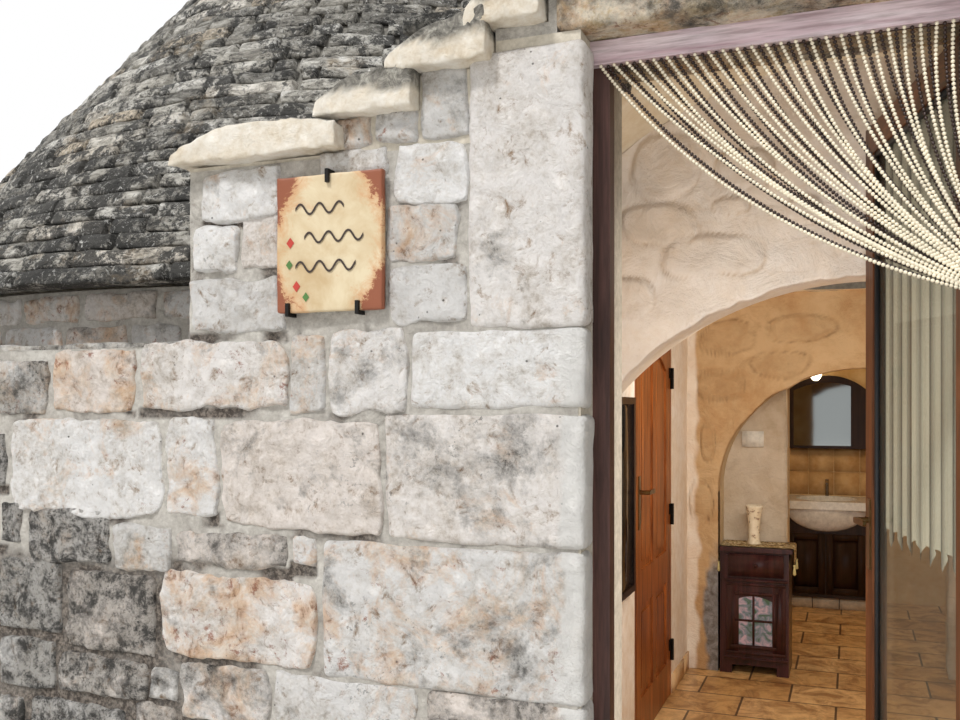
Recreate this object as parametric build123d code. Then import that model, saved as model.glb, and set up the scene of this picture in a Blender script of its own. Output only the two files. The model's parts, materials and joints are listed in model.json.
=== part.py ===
from build123d import *
import math
import os

# A dry-stone house of the trullo kind: a large cone over a square room on the left, and on the
# right a gabled wing with the entrance, a second smaller cone and a wash room behind it.
# Lengths are in millimetres. Plan layout: x = 0 at the middle of the entrance, y = 0 on the front
# face, z = 0 on the ground.

# Levels
floor_level = 120          # top of the floors and of the threshold
low_wall_height = 1690     # top of the thick walls round the large cone
wing_wall_top = 2100       # where the walls of the wing end and its vaults begin

# Entrance opening
door_half = 480            # half the stone opening
lintel_underside = 2440
lintel_height = 120
lintel_bearing = 60

# Rooms of the wing, between wall faces
wing_left = -680
wing_right = 1060
wing_back = 5100
gable_half = 1640          # half the width of the gable
gable_thickness = 450
partition_thickness = 380  # between the wing and the square room
wing_back_thickness = 500

# Pitched roof of the wing
ridge_rise = 730           # over the walls of the wing
roof_edge = 46.6           # over the same walls, at the right eaves
roof_overhang = 60         # past the right wall

# Vaults of the wing: how far their soffits stay under the ridge
vault_left_drop = 470
vault_middle_drop = 190
vault_right_drop = 630
back_vault_drop = 380

# Square room, drum, eaves and large cone
room_width = 2900
room_depth = 3500
drum_radius = 2750
drum_height = 260          # over the low walls
ledge_front = 550          # width of the ledge at the foot of the drum
ledge_side = 240
ledge_back = 250
eaves_overhang = 150       # of the first roof slabs, past the drum
eaves_bearing = 150        # how far those slabs lie on the drum
eaves_thickness = 75
eaves_slab_count = 32
eaves_joint = 4            # open joint between two slabs
cone_slope = 1.20          # rise over run, on both cones
cone_cut_radius = 260      # where the roof is cut off under the pinnacle
dome_ledge = 40            # how far the inner dome stands in from the walls
dome_courses = 9           # corbelled rings of the inner dome
dome_course_height = 290
dome_curve = 1.35          # how round the inner domes are

# Small cone over the second bay of the wing
small_drum_radius = 1360
small_drum_height = 230    # over the walls of the wing
small_eaves_overhang = 70
small_eaves_bearing = 110
small_eaves_thickness = 60
small_eaves_slab_count = 20
small_cone_cut_radius = 190
small_dome_courses = 5
small_dome_course_height = 250

# Pinnacle of the large cone, and the size of the small one beside it
cap_height = 300
cap_overlap = 90           # how far the plaster cap comes down over the roof
cap_thickness = 24
cap_top_radius = 115
disc_radius = 185
disc_height = 50
neck_radius = 60
neck_height = 70
ball_radius = 125
ball_facets = 8
small_pinnacle_share = 0.75

# Stepped coping of the gable
coping_rise = 90
coping_goings = [218, 210, 140, 132, 120, 110]   # going of each step after the one at the corner
apex_half = 200            # half the flat at the top of the steps
coping_tip = 42            # thickness of a slab at its lower end
coping_crest = 42          # how far it stands over the seat of the next slab
coping_lap = 75            # each slab laps the one below
coping_front = 60          # overhang in front of the wall
coping_side = 35           # overhang beyond the corner
apex_thickness = 95

# Entrance frame and leaf
frame_width = 45
frame_front = 115          # set back from the front face
frame_depth = 50
leaf_thickness = 42
leaf_gap = 5
leaf_open_angle = 76       # how far the leaf stands open
stile_width = 78
top_rail_height = 90
bottom_rail_height = 190
glass_thickness = 6
handle_height = 1040       # above the floor
lace_bottom = 970          # hem of the lace above the floor
lace_thickness = 6
lace_margin = 12

# Hinges, the same on both doors
hinge_radius = 9
hinge_pin_radius = 4
hinge_pin_play = 0.3
hinge_half_height = 50
hinge_pin_length = 40
hinge_gap = 0.5
hinge_plate_thickness = 4
hinge_plate_width = 34
hinge_count = 3

# Lever handles
plate_height = 220
plate_width = 34
plate_thickness = 5
lever_radius = 9
lever_reach = 48
lever_length = 115
lever_height = 18
lever_thickness = 10
lever_inset = 45           # from the edge of the leaf

# Inner arches
arch_front = 1070
arch_thickness = 250
arch_springing = 1440      # above the floor
arch_crown = 1830
alcove_front = 2900
alcove_thickness = 250
alcove_half = 710
alcove_springing = 960
alcove_rise = 630
infill_thickness = 200
wash_room_left = -187      # sides of the opening to the wash room
wash_room_right = 600

# Inner door, in the wall to the square room
inner_door_offset = 10     # first jamb, from the corner of the square room
inner_door_width = 840
inner_door_height = 1785
inner_frame_width = 35
inner_frame_depth = 70
inner_leaf_thickness = 40
inner_stile_width = 90
inner_muntin_width = 70
inner_top_rail = 110
inner_lock_rail = 150
inner_lock_rail_level = 560
inner_bottom_rail = 170
inner_panel_thickness = 18
inner_panel_arch = 75      # how far the heads of the upper panels fall to the outer sides
panel_margin = 35
panel_raise = 6

# Bead curtain
rail_height = 60
rail_front = 90            # from the front face to the rail, which is fixed on the frame
strand_count = 24
strand_width = 6
strand_layer_gap = 9       # from the front layer to the back one
strand_sag = 0.084         # depth of the sag over the length
strand_runs = 5
tie_height = 1655          # lowest strand at the tie, above the floor
tie_inset = 100            # from the right jamb to that strand
tie_pitch = 6
tail_length = 1050
tail_width = 62
tail_depth = 30
band_height = 26
band_thickness = 3
tie_rod_radius = 4

# Name plate, without any writing
plaque_left = -1327
plaque_width = 323
plaque_bottom = 1770
plaque_height = 370
plaque_thickness = 24
plaque_off_wall = 12
plaque_bevel = 4
peg_radius = 5
peg_hold = 26              # how far a peg turns up or down over the face

# Wall mirror
mirror_from_door = 90      # to the frame of the inner door
mirror_width = 300
mirror_bottom = 670        # above the floor
mirror_height = 760
mirror_thickness = 24
mirror_frame = 26
mirror_recess = 5

# Small cabinet in front of the alcove
cabinet_left = -508
cabinet_width = 345
cabinet_front = 2878
cabinet_height = 660
cabinet_top_thickness = 22
cabinet_top_overhang = 18
cabinet_foot_height = 45
cabinet_front_relief = 8
cabinet_foot_width = 60
cabinet_stile = 30
drawer_height = 105
drawer_margin = 20         # round the drawer front
cabinet_door_bottom = 80

# Wash stand
wash_centre = -30
vanity_width = 520
vanity_depth = 400
vanity_top = 690           # above the floor
plinth_height = 80
plinth_setback = 40
basin_width = 700
basin_depth = 480
basin_rim = 55
bowl_radius = 225
bowl_foot_radius = 140
bowl_drop = 145            # below the rim
bowl_wall = 22
bowl_margin = 20           # from the front of the rim to the bowl
basin_corner = 90
tap_radius = 12
tap_from_wall = 16         # to the middle of the tap
tap_height = 120
tap_reach = 110
wash_mirror_width = 540
wash_mirror_height = 520
wash_mirror_rise = 110
wash_mirror_bottom = 1090  # above the floor
wash_mirror_depth = 110

# Places that follow from the sizes
room_right = wing_left - partition_thickness
room_left = room_right - room_width
cone_x = (room_left + room_right) / 2
cone_y = ledge_front + drum_radius
room_front = cone_y - room_depth / 2
room_back = cone_y + room_depth / 2
inner_door_near = room_front + inner_door_offset
mirror_near = inner_door_near - mirror_from_door - mirror_width
eaves_under = low_wall_height + drum_height
eaves_radius = drum_radius + eaves_overhang
small_eaves_under = wing_wall_top + small_drum_height
small_eaves_radius = small_drum_radius + small_eaves_overhang
house_left = cone_x - drum_radius - ledge_side
house_back = cone_y + drum_radius + ledge_back
wing_end = wing_back + wing_back_thickness
arch_end = arch_front + arch_thickness
alcove_end = alcove_front + alcove_thickness
bay_centre = (wing_left + wing_right) / 2
small_cone_y = (arch_end + alcove_front) / 2
roof_right = gable_half + roof_overhang
ridge_height = wing_wall_top + ridge_rise
roof_fall = (ridge_rise - roof_edge) / roof_right
coping_runs = [gable_half - apex_half - sum(coping_goings)] + coping_goings
apex_level = ridge_height
coping_base = apex_level - len(coping_runs) * coping_rise
frame_back = frame_front + frame_depth
frame_clear = door_half - frame_width
head_under = lintel_underside - frame_width
inner_door_far = inner_door_near + inner_door_width
inner_door_head = floor_level + inner_door_height

# The part stands with the middle of its plan box on the origin.
centre_x = (house_left + max(gable_half + coping_side, roof_right)) / 2
centre_y = (house_back - coping_front) / 2


def block(x0, x1, y0, y1, z0, z1):
    """Box between two corners of the plan layout."""
    return Pos((x0 + x1) / 2, (y0 + y1) / 2, (z0 + z1) / 2) * Box(x1 - x0, y1 - y0, z1 - z0)


def plan_prism(points, z0, z1):
    """Upright prism on a plan outline."""
    return Pos(0, 0, z0) * extrude(make_face(Polyline(*points, close=True)), z1 - z0)


def along_y(face, y0, y1):
    """Prism along y on a face drawn in x and z."""
    return Pos(0, y0, 0) * (Rot(90, 0, 0) * extrude(face, -(y1 - y0)))


def section_prism(points, y0, y1):
    return along_y(make_face(Polyline(*points, close=True)), y0, y1)


def rod(start, end, radius):
    """Round bar from one point to another."""
    axis = Vector(*end) - Vector(*start)
    return Plane(origin=start, z_dir=axis) * extrude(Circle(radius), axis.length)


def turned(profile, x, y):
    """Solid turned about the upright line at x, y from (radius, height) points."""
    face = Plane.XZ * make_face(Polyline(*profile, close=True))
    return Pos(x, y, 0) * revolve(face, Axis.Z)


# Cones
def roof_profile(drum, foot, under, thickness, bearing, radius, cut, slope):
    """Drum and cone together, with the seat for the first slabs: (radius, height) points."""
    seat = drum - bearing
    top = under + (radius - cut) * slope
    return [(0, foot), (drum, foot), (drum, under), (seat, under), (seat, under + thickness),
            (radius - thickness / slope, under + thickness), (cut, top), (0, top)]


def dome_void(x, y, base, radius, courses, course_height):
    """Space under a dome of corbelled rings, each ring standing in from the one below."""
    profile = [(0, base)]
    for course in range(courses):
        ring = radius * (1 - (course / courses) ** dome_curve)
        profile += [(ring, base + course * course_height), (ring, base + (course + 1) * course_height)]
    profile.append((0, base + courses * course_height))
    return turned(profile, x, y)


def slab_ring(x, y, inner, radius, under, thickness, slope, count, keep_out):
    """First course of roof slabs, which stand out over the drum; a slab mostly cut away is left out."""
    step = 360 / count
    arc = step - math.degrees(eaves_joint / radius)
    outline = [(inner, under), (radius, under), (radius - thickness / slope, under + thickness),
               (inner, under + thickness)]
    face = Plane.XZ * make_face(Polyline(*outline, close=True))
    whole = Pos(x, y, 0) * revolve(face, Axis.Z, arc)
    slabs = []
    for number in range(count):
        slab = whole.rotate(Axis((x, y, 0), (0, 0, 1)), number * step) - keep_out
        slabs += [piece for piece in slab.solids() if piece.volume > whole.volume / 5]
    return Compound(slabs)


def pinnacle(x, y, top, cut, slope, share):
    """Plaster cap, flat disc, neck and ball, as one turned piece; share sizes all but the cap's seat."""
    cap_top = top + cap_height * share
    foot = top - cap_overlap * share
    foot_radius = cut + cap_overlap * share / slope
    disc_top = cap_top + disc_height * share
    neck_top = disc_top + neck_height * share
    ball, neck, bevel = ball_radius * share, neck_radius * share, disc_height * share / 4
    profile = [(0, top), (cut, top), (foot_radius, foot), (foot_radius + cap_thickness, foot),
               (cap_top_radius * share, cap_top), (disc_radius * share - bevel, cap_top),
               (disc_radius * share, cap_top + bevel), (disc_radius * share, disc_top - bevel),
               (disc_radius * share - bevel, disc_top), (neck, disc_top)]
    first = math.asin(neck / ball)
    centre = neck_top + ball * math.cos(first)
    for facet in range(ball_facets):
        angle = first + (math.pi - first) * facet / ball_facets
        profile.append((ball * math.sin(angle), centre - ball * math.cos(angle)))
    profile.append((0, centre + ball))
    return turned(profile, x, y)


def large_roof_solid():
    profile = roof_profile(drum_radius, low_wall_height, eaves_under, eaves_thickness, eaves_bearing,
                           eaves_radius, cone_cut_radius, cone_slope)
    return turned(profile, cone_x, cone_y)


def small_roof_solid():
    profile = roof_profile(small_drum_radius, wing_wall_top, small_eaves_under, small_eaves_thickness,
                           small_eaves_bearing, small_eaves_radius, small_cone_cut_radius, cone_slope)
    return turned(profile, bay_centre, small_cone_y)


def roof_top(x):
    return ridge_height - abs(x) * roof_fall


def pitched_solid(x0, y0, y1, z0):
    """The wing under its pitched roof, from x0 to the right eaves."""
    points = [(x0, z0), (roof_right, z0), (roof_right, roof_top(roof_right)), (0, ridge_height),
              (x0, roof_top(x0))]
    return section_prism(points, y0, y1)


def wing_outside(z0):
    """Everything that belongs to the wing above the level z0, without its cone."""
    front = pitched_solid(-gable_half, 0, room_front, z0)
    return front + pitched_solid(room_right, room_front, wing_end, z0)


def vault_void(left, middle, right, y0, y1):
    """Space under a vault between the side walls of the wing: one arc through three heights."""
    outline = [Line((wing_left, wing_wall_top), (wing_right, wing_wall_top)),
               ThreePointArc((wing_right, right), (bay_centre, middle), (wing_left, left))]
    if right > wing_wall_top:
        outline.insert(1, Line((wing_right, wing_wall_top), (wing_right, right)))
    if left > wing_wall_top:
        outline.append(Line((wing_left, left), (wing_left, wing_wall_top)))
    return along_y(make_face(outline), y0, y1)


def entrance_vault_void(y0, y1):
    return vault_void(ridge_height - vault_left_drop, ridge_height - vault_middle_drop,
                      ridge_height - vault_right_drop, y0, y1)


def large_cone():
    """Drum and cone of the square room, each in a left and a right half."""
    reach = drum_radius + ledge_side
    height = eaves_under + eaves_radius * cone_slope
    room = block(room_left, room_right, room_front, room_back, 0, drum_top())
    dome = dome_void(cone_x, cone_y, drum_top(), room_width / 2 - dome_ledge, dome_courses,
                     dome_course_height)
    mass = large_roof_solid() - room - dome - wing_outside(0) - small_roof_solid()
    made = {}
    for side, x0, x1 in (("left", cone_x - reach, cone_x), ("right", cone_x, cone_x + reach)):
        half = mass & block(x0, x1, cone_y - reach, cone_y + reach, 0, height)
        made["drum_" + side] = half & block(x0, x1, cone_y - reach, cone_y + reach, 0, drum_top())
        made["large_cone_" + side] = half & block(x0, x1, cone_y - reach, cone_y + reach, drum_top(), height)
    keep_out = wing_outside(0) + small_roof_solid()
    made["large_eaves"] = slab_ring(cone_x, cone_y, drum_radius - eaves_bearing, eaves_radius, eaves_under,
                                    eaves_thickness, cone_slope, eaves_slab_count, keep_out)
    top = eaves_under + (eaves_radius - cone_cut_radius) * cone_slope
    made["large_pinnacle"] = pinnacle(cone_x, cone_y, top, cone_cut_radius, cone_slope, 1)
    return made


def drum_top():
    return eaves_under + eaves_thickness


def wing_roof():
    """Masonry over the wing: the entrance vault, the small cone in two halves and the back vault."""
    outside = wing_outside(wing_wall_top) + small_roof_solid()
    back_void = vault_void(wing_wall_top, ridge_height - back_vault_drop, wing_wall_top,
                           alcove_end, wing_back)
    dome = dome_void(bay_centre, small_cone_y, wing_wall_top, (alcove_front - arch_end) / 2 - dome_ledge,
                     small_dome_courses, small_dome_course_height)
    left, right = cone_x, roof_right
    height = small_eaves_under + small_eaves_radius * cone_slope
    front = outside & block(left, right, gable_thickness, arch_front, wing_wall_top, height)
    middle = outside & block(left, right, arch_front, alcove_end, wing_wall_top, height)
    middle -= dome + entrance_vault_void(arch_front, arch_end)
    back = outside & block(left, right, alcove_end, wing_end, wing_wall_top, height)
    top = small_eaves_under + (small_eaves_radius - small_cone_cut_radius) * cone_slope
    return {
        "entrance_vault": front - entrance_vault_void(gable_thickness, arch_front),
        "small_cone_left": middle & block(left, bay_centre, arch_front, alcove_end, wing_wall_top, height),
        "small_cone_right": middle & block(bay_centre, right, arch_front, alcove_end, wing_wall_top, height),
        "back_vault": back - back_void,
        "small_eaves": slab_ring(bay_centre, small_cone_y, small_drum_radius - small_eaves_bearing,
                                 small_eaves_radius, small_eaves_under, small_eaves_thickness, cone_slope,
                                 small_eaves_slab_count, wing_outside(0) + large_roof_solid()),
        "small_pinnacle": pinnacle(bay_centre, small_cone_y, top, small_cone_cut_radius, cone_slope,
                                   small_pinnacle_share),
    }


# Walls
def low_walls():
    """Thick walls round the square room, level with the ledge at the foot of the drum."""
    top = low_wall_height
    return {
        "low_front_wall": block(house_left, -gable_half, 0, room_front, 0, top),
        "low_left_wall": block(house_left, room_left, room_front, room_back, 0, top),
        "low_back_wall": plan_prism(
            [(house_left, room_back), (room_right, room_back), (room_right, wing_end),
             (wing_left, wing_end), (wing_left, house_back), (house_left, house_back)], 0, top),
    }


def gable_outline():
    """Left half of the stepped top of the gable: (x, z) points from the corner to the middle."""
    points = []
    x = -gable_half
    for step, run in enumerate(coping_runs):
        level = coping_base + step * coping_rise
        points += [(x, level), (x + run, level)]
        x += run
    return points + [(x, apex_level)]


def gable_wall():
    """Two piers, the lintel on them and the stepped wall above it."""
    left = gable_outline()
    right = [(-x, z) for x, z in reversed(left)]
    whole = section_prism([(-gable_half, 0)] + left + right + [(gable_half, 0)], 0, gable_thickness)
    lintel_half = door_half + lintel_bearing
    lintel = block(-lintel_half, lintel_half, 0, gable_thickness, lintel_underside,
                   lintel_underside + lintel_height)
    return {
        "gable_pier_left": whole & block(-gable_half, -door_half, 0, gable_thickness, 0, lintel_underside),
        "gable_pier_right": whole & block(door_half, gable_half, 0, gable_thickness, 0, lintel_underside),
        "door_lintel": lintel,
        "gable_top": (whole & block(-gable_half, gable_half, 0, gable_thickness, lintel_underside,
                                    apex_level)) - lintel,
    }


def coping():
    """Stepped wedge slabs on the gable, each lapping the one below, and the stone at the top."""
    slabs = []
    x = -gable_half
    for step, run in enumerate(coping_runs):
        start = x - (coping_side if step == 0 else coping_lap)
        level = coping_base + step * coping_rise
        x += run
        seat = level + coping_rise
        outline = [(start, level), (x, level), (x, seat), (x - coping_lap, seat),
                   (x - coping_lap, seat + coping_crest), (start, level + coping_tip)]
        slabs.append(section_prism(outline, -coping_front, gable_thickness))
    left = Compound(slabs)
    side = apex_half + coping_lap
    crown = [(-side, apex_level), (side, apex_level), (side, apex_level + coping_tip),
             (0, apex_level + apex_thickness), (-side, apex_level + coping_tip)]
    apex = section_prism(crown, -coping_front, gable_thickness)
    return {"coping_left": left, "coping_right": mirror(left, about=Plane.YZ), "coping_apex": apex}


def wing_walls():
    """Side walls, back wall and the wall to the square room, with its doorway."""
    top = wing_wall_top
    return {
        "wing_left_wall": block(-gable_half, wing_left, gable_thickness, inner_door_near, 0, top)
        - block(-gable_half, room_right, room_front, inner_door_near, 0, top),
        "partition_wall": block(room_right, wing_left, inner_door_far, wing_end, 0, top),
        "partition_lintel": block(room_right, wing_left, inner_door_near, inner_door_far,
                                  inner_door_head, top),
        "wing_right_wall": block(wing_right, gable_half, gable_thickness, wing_end, 0, top),
        "wing_back_wall": block(wing_left, wing_right, wing_back, wing_end, 0, top),
    }


def inner_arches():
    """Arch behind the entrance, the alcove arch, and the thin wall on both sides of the wash room."""
    springing = floor_level + arch_springing
    outline = [Line((wing_left, wing_wall_top), (wing_left, springing)),
               ThreePointArc((wing_left, springing), (bay_centre, floor_level + arch_crown),
                             (wing_right, springing)),
               Line((wing_right, springing), (wing_right, wing_wall_top)),
               Line((wing_right, wing_wall_top), (wing_left, wing_wall_top))]
    springing = floor_level + alcove_springing
    alcove = block(wing_left, wing_right, alcove_front, alcove_end, floor_level, wing_wall_top)
    alcove -= block(bay_centre - alcove_half, bay_centre + alcove_half, alcove_front, alcove_end,
                    floor_level, springing)
    vault = Pos(bay_centre, springing) * Ellipse(alcove_half, alcove_rise)
    alcove -= along_y(vault, alcove_front, alcove_end)
    infill_end = alcove_end + infill_thickness
    infill = [block(wing_left, wash_room_left, alcove_end, infill_end, floor_level, wing_wall_top),
              block(wash_room_right, wing_right, alcove_end, infill_end, floor_level, wing_wall_top)]
    entrance = along_y(make_face(outline), arch_front, arch_end) + entrance_vault_void(arch_front, arch_end)
    return {"entrance_arch": entrance, "alcove_arch": alcove, "alcove_infill": Compound(infill)}


def floors():
    """Floors of the rooms, and the threshold stone in the entrance."""
    square = block(room_left, room_right, room_front, room_back, 0, floor_level)
    doorway = block(room_right, wing_left, inner_door_near, inner_door_far, 0, floor_level)
    return {
        "square_room_floor": square + doorway,
        "wing_floor": block(wing_left, wing_right, gable_thickness, wing_back, 0, floor_level),
        "threshold": block(-door_half, door_half, 0, gable_thickness, 0, floor_level),
    }


# Doors
def hinge_levels(bottom, top):
    """Middles of the hinges on a leaf: one near each end, the rest evenly between."""
    inset = (top - bottom) / 8
    return [bottom + inset + (top - bottom - 2 * inset) * number / (hinge_count - 1)
            for number in range(hinge_count)]


def hinge_halves(x, y, face, levels):
    """Lift-off hinges on an upright axis in front of a face at y = face.

    The pin halves belong to the frame at the right, the sleeves to the leaf at the left."""
    pins, sleeves = [], []
    plate_y = (face, face + hinge_plate_thickness)
    for level in levels:
        low, high = level - hinge_half_height, level + hinge_half_height
        barrel = Pos(x, y, low) * extrude(Circle(hinge_radius), hinge_half_height)
        pin = Pos(x, y, level) * extrude(Circle(hinge_pin_radius), hinge_pin_length)
        pins.append(barrel + pin + block(x, x + hinge_plate_width, *plate_y, low, level))
        start = level + hinge_gap
        sleeve = Pos(x, y, start) * extrude(Circle(hinge_radius), hinge_half_height)
        sleeve += block(x - hinge_plate_width, x, *plate_y, start, high + hinge_gap)
        bore = Pos(x, y, level) * extrude(Circle(hinge_pin_radius + hinge_pin_play), hinge_pin_length + 1)
        sleeves.append(sleeve - bore)
    return Compound(pins), Compound(sleeves)


def lever_handle(face, out, centre, level):
    """Plate and lever on a leaf that lies along x; out is the way that the face looks along y."""
    near, far = sorted((face, face + out * plate_thickness))
    plate = block(centre - plate_width / 2, centre + plate_width / 2, near, far,
                  level - plate_height * 0.7, level + plate_height * 0.3)
    end = face + out * lever_reach
    neck = rod((centre, face, level), (centre, end, level), lever_radius)
    near, far = sorted((end, end - out * lever_thickness))
    grip = Pos(centre + (lever_length - lever_height) / 2, 0, level)
    bar = along_y(SlotOverall(lever_length, lever_height), near, far)
    return plate + neck + grip * bar


def entrance_frame():
    posts = block(-door_half, door_half, frame_front, frame_back, floor_level, lintel_underside)
    return posts - block(-frame_clear, frame_clear, frame_front, frame_back, floor_level, head_under)


def entrance_door():
    """Frame and glazed leaf; the leaf is drawn shut and its pieces are turned open together."""
    half = frame_clear - leaf_gap
    inner = half - stile_width
    front, back = frame_back - leaf_thickness, frame_back
    bottom, top = floor_level + leaf_gap, head_under - leaf_gap
    glass_low, glass_high = bottom + bottom_rail_height, top - top_rail_height
    middle = (front + back) / 2
    stiles = [block(-half, -inner, front, back, bottom, top), block(inner, half, front, back, bottom, top)]
    rails = [block(-inner, inner, front, back, bottom, glass_low),
             block(-inner, inner, front, back, glass_high, top)]
    glass = block(-inner, inner, middle - glass_thickness / 2, middle + glass_thickness / 2,
                  glass_low, glass_high)
    lace = block(-inner + lace_margin, inner - lace_margin, middle + glass_thickness / 2,
                 middle + glass_thickness / 2 + lace_thickness, floor_level + lace_bottom, glass_high)
    grips = [lever_handle(face, out, lever_inset - half, floor_level + handle_height)
             for face, out in ((front, -1), (back, 1))]
    hinge_x = frame_clear + leaf_gap
    hinge_y = back + hinge_radius + hinge_gap
    pins, sleeves = hinge_halves(hinge_x, hinge_y, back, hinge_levels(bottom, top))
    leaf = {"leaf_stiles": Compound(stiles), "leaf_rails": Compound(rails), "leaf_glass": glass,
            "leaf_handles": Compound(grips), "leaf_hinges": sleeves, "leaf_lace": lace}
    axis = Axis((hinge_x, hinge_y, 0), (0, 0, -1))
    made = {name: shape.rotate(axis, leaf_open_angle) for name, shape in leaf.items()}
    made["door_frame"] = entrance_frame()
    made["frame_hinges"] = pins
    print("entrance hinge", hinge_x - centre_x, hinge_y - centre_y)
    return made


def panel_shape(x0, x1, y0, y1, z0, z1, bend, falls_left):
    """Field of a door panel; one with a bend has an arched head, lower at the outer side."""
    if bend == 0:
        return block(x0, x1, y0, y1, z0, z1)
    left, right = (z1 - bend, z1) if falls_left else (z1, z1 - bend)
    crown = (left + right) / 2 + bend / 5
    outline = [Line((x0, z0), (x1, z0)), Line((x1, z0), (x1, right)),
               ThreePointArc((x1, right), ((x0 + x1) / 2, crown), (x0, left)), Line((x0, left), (x0, z0))]
    return along_y(make_face(outline), y0, y1)


def inner_door():
    """Panelled leaf in its frame, drawn along x and then stood in the wall to the square room."""
    half = inner_door_width / 2
    clear = half - inner_frame_width
    frame_top = inner_door_head - inner_frame_width
    frame = block(-half, half, -inner_frame_depth, 0, floor_level, inner_door_head)
    frame -= block(-clear, clear, -inner_frame_depth, 0, floor_level, frame_top)
    edge = clear - leaf_gap
    low, high = floor_level + leaf_gap, frame_top - leaf_gap
    back, face = -inner_leaf_thickness, 0
    inner = edge - inner_stile_width
    side = inner_muntin_width / 2
    lock = floor_level + inner_lock_rail_level
    bands = [(low, low + inner_bottom_rail), (lock, lock + inner_lock_rail), (high - inner_top_rail, high)]
    fields = [(bands[0][1], bands[1][0]), (bands[1][1], bands[2][0])]
    joinery = block(-edge, edge, back, face, low, high)
    middle = (back + face) / 2
    for (z0, z1), bend in zip(fields, (0, inner_panel_arch)):
        for x0, x1 in ((-inner, -side), (side, inner)):
            shoulder = abs(x0) > abs(x1)
            joinery -= panel_shape(x0, x1, back, face, z0, z1, bend, shoulder)
            reach = inner_panel_thickness / 2
            board = panel_shape(x0, x1, middle - reach, middle + reach, z0, z1, bend, shoulder)
            reach += panel_raise
            board += panel_shape(x0 + panel_margin, x1 - panel_margin, middle - reach, middle + reach,
                                 z0 + panel_margin, z1 - panel_margin, bend, shoulder)
            joinery += board
    handle = lever_handle(face, 1, lever_inset - edge, floor_level + handle_height)
    pivot_x = clear + leaf_gap
    pivot_y = face + hinge_radius + hinge_gap
    pins, sleeves = hinge_halves(pivot_x, pivot_y, face, hinge_levels(low, high))
    made = {"inner_frame": frame, "inner_leaf": joinery,
            "inner_handle": handle, "inner_hinges": sleeves, "inner_frame_hinges": pins}
    # Drawn x runs towards the back of the house, and drawn y out of the wall into the wing.
    middle_y = (inner_door_near + inner_door_far) / 2
    print("inner hinge", wing_left + pivot_y - centre_x, middle_y + pivot_x - centre_y)
    return {name: Pos(wing_left, middle_y, 0) * (Rot(0, 0, 90) * mirror(shape, about=Plane.XZ))
            for name, shape in made.items()}


# Bead curtain
def strand(top, end, y):
    """One string of beads as a thin strip that sags between its ends."""
    length = math.dist(top, end)
    along = ((end[0] - top[0]) / length, (end[1] - top[1]) / length)
    across = (along[1], -along[0])
    left, right = [], []
    for run in range(strand_runs + 1):
        share = run / strand_runs
        drop = 4 * strand_sag * length * share * (1 - share)
        x = top[0] + along[0] * length * share + across[0] * drop
        z = top[1] + along[1] * length * share + across[1] * drop
        left.append((x + across[0] * strand_width / 2, z + across[1] * strand_width / 2))
        right.append((x - across[0] * strand_width / 2, z - across[1] * strand_width / 2))
    strip = section_prism(left + right[::-1], y, y + strand_width)
    above_rail = block(-door_half, door_half, y, y + strand_width, top[1] - strand_width, lintel_underside)
    return strip - above_rail


def curtain():
    """Strings of beads from the rail, gathered to the right post, with their tails hanging."""
    rail_under = lintel_underside - rail_height
    rail = block(-door_half, door_half, rail_front, frame_front, rail_under, lintel_underside)
    tie_x = door_half - tie_inset
    tie_z = floor_level + tie_height
    pitch = (2 * door_half - strand_width * 4) / strand_count
    strands = []
    for number in range(strand_count):
        step = (number // 2) * tie_pitch
        top = (-door_half + strand_width * 2 + number * pitch, rail_under + strand_width)
        end = (tie_x + step, tie_z + step)
        strands.append(strand(top, end, rail_front + (number % 2) * strand_layer_gap))
    tail_x = tie_x + tail_width / 2
    tail_y = rail_front + (strand_layer_gap + strand_width) / 2
    section = Ellipse(tail_width / 2, tail_depth / 2)
    tail = Pos(tail_x, tail_y, tie_z - tail_length) * extrude(section, tail_length)
    band_ring = Ellipse(tail_width / 2 + band_thickness, tail_depth / 2 + band_thickness) - section
    band_low = tie_z - 2 * band_height
    band = Pos(tail_x, tail_y, band_low) * extrude(band_ring, band_height)
    hook_start = tail_x + tail_width / 2 + band_thickness / 2
    hook_z = band_low + band_height / 2
    band += rod((hook_start, tail_y, hook_z), (door_half, tail_y, hook_z), tie_rod_radius)
    return {"curtain_rail": rail, "bead_strings": Compound(strands), "bead_tails": tail, "curtain_tie": band}


# Name plate
def plaque():
    """Bare tablet and the three iron pegs that hold it off the wall."""
    front = -plaque_off_wall - plaque_thickness
    top = plaque_bottom + plaque_height
    tablet = block(plaque_left, plaque_left + plaque_width, front, -plaque_off_wall, plaque_bottom, top)
    tablet = chamfer(tablet.faces().sort_by(Axis.Y)[0].edges(), plaque_bevel)
    pegs = []
    for share, edge, lift in ((0.12, plaque_bottom, 1), (0.78, plaque_bottom, 1), (0.5, top, -1)):
        x = plaque_left + share * plaque_width
        bar_z = edge - lift * (peg_radius + 0.3)
        tip_y = front - peg_radius - 0.3
        sides = (x - peg_radius, x + peg_radius)
        peg = block(*sides, tip_y - peg_radius, 0, bar_z - peg_radius, bar_z + peg_radius)
        low, high = sorted((bar_z, bar_z + lift * (peg_radius + peg_hold)))
        pegs.append(peg + block(*sides, tip_y - peg_radius, tip_y + peg_radius, low, high))
    return {"plaque": tablet, "plaque_pegs": Compound(pegs)}


# Fittings that show through the doorway
def wall_mirror():
    face = wing_left + mirror_thickness
    low = floor_level + mirror_bottom
    far, high = mirror_near + mirror_width, low + mirror_height
    whole = block(wing_left, face, mirror_near, far, low, high)
    return whole - block(face - mirror_recess, face, mirror_near + mirror_frame, far - mirror_frame,
                         low + mirror_frame, high - mirror_frame)


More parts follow.
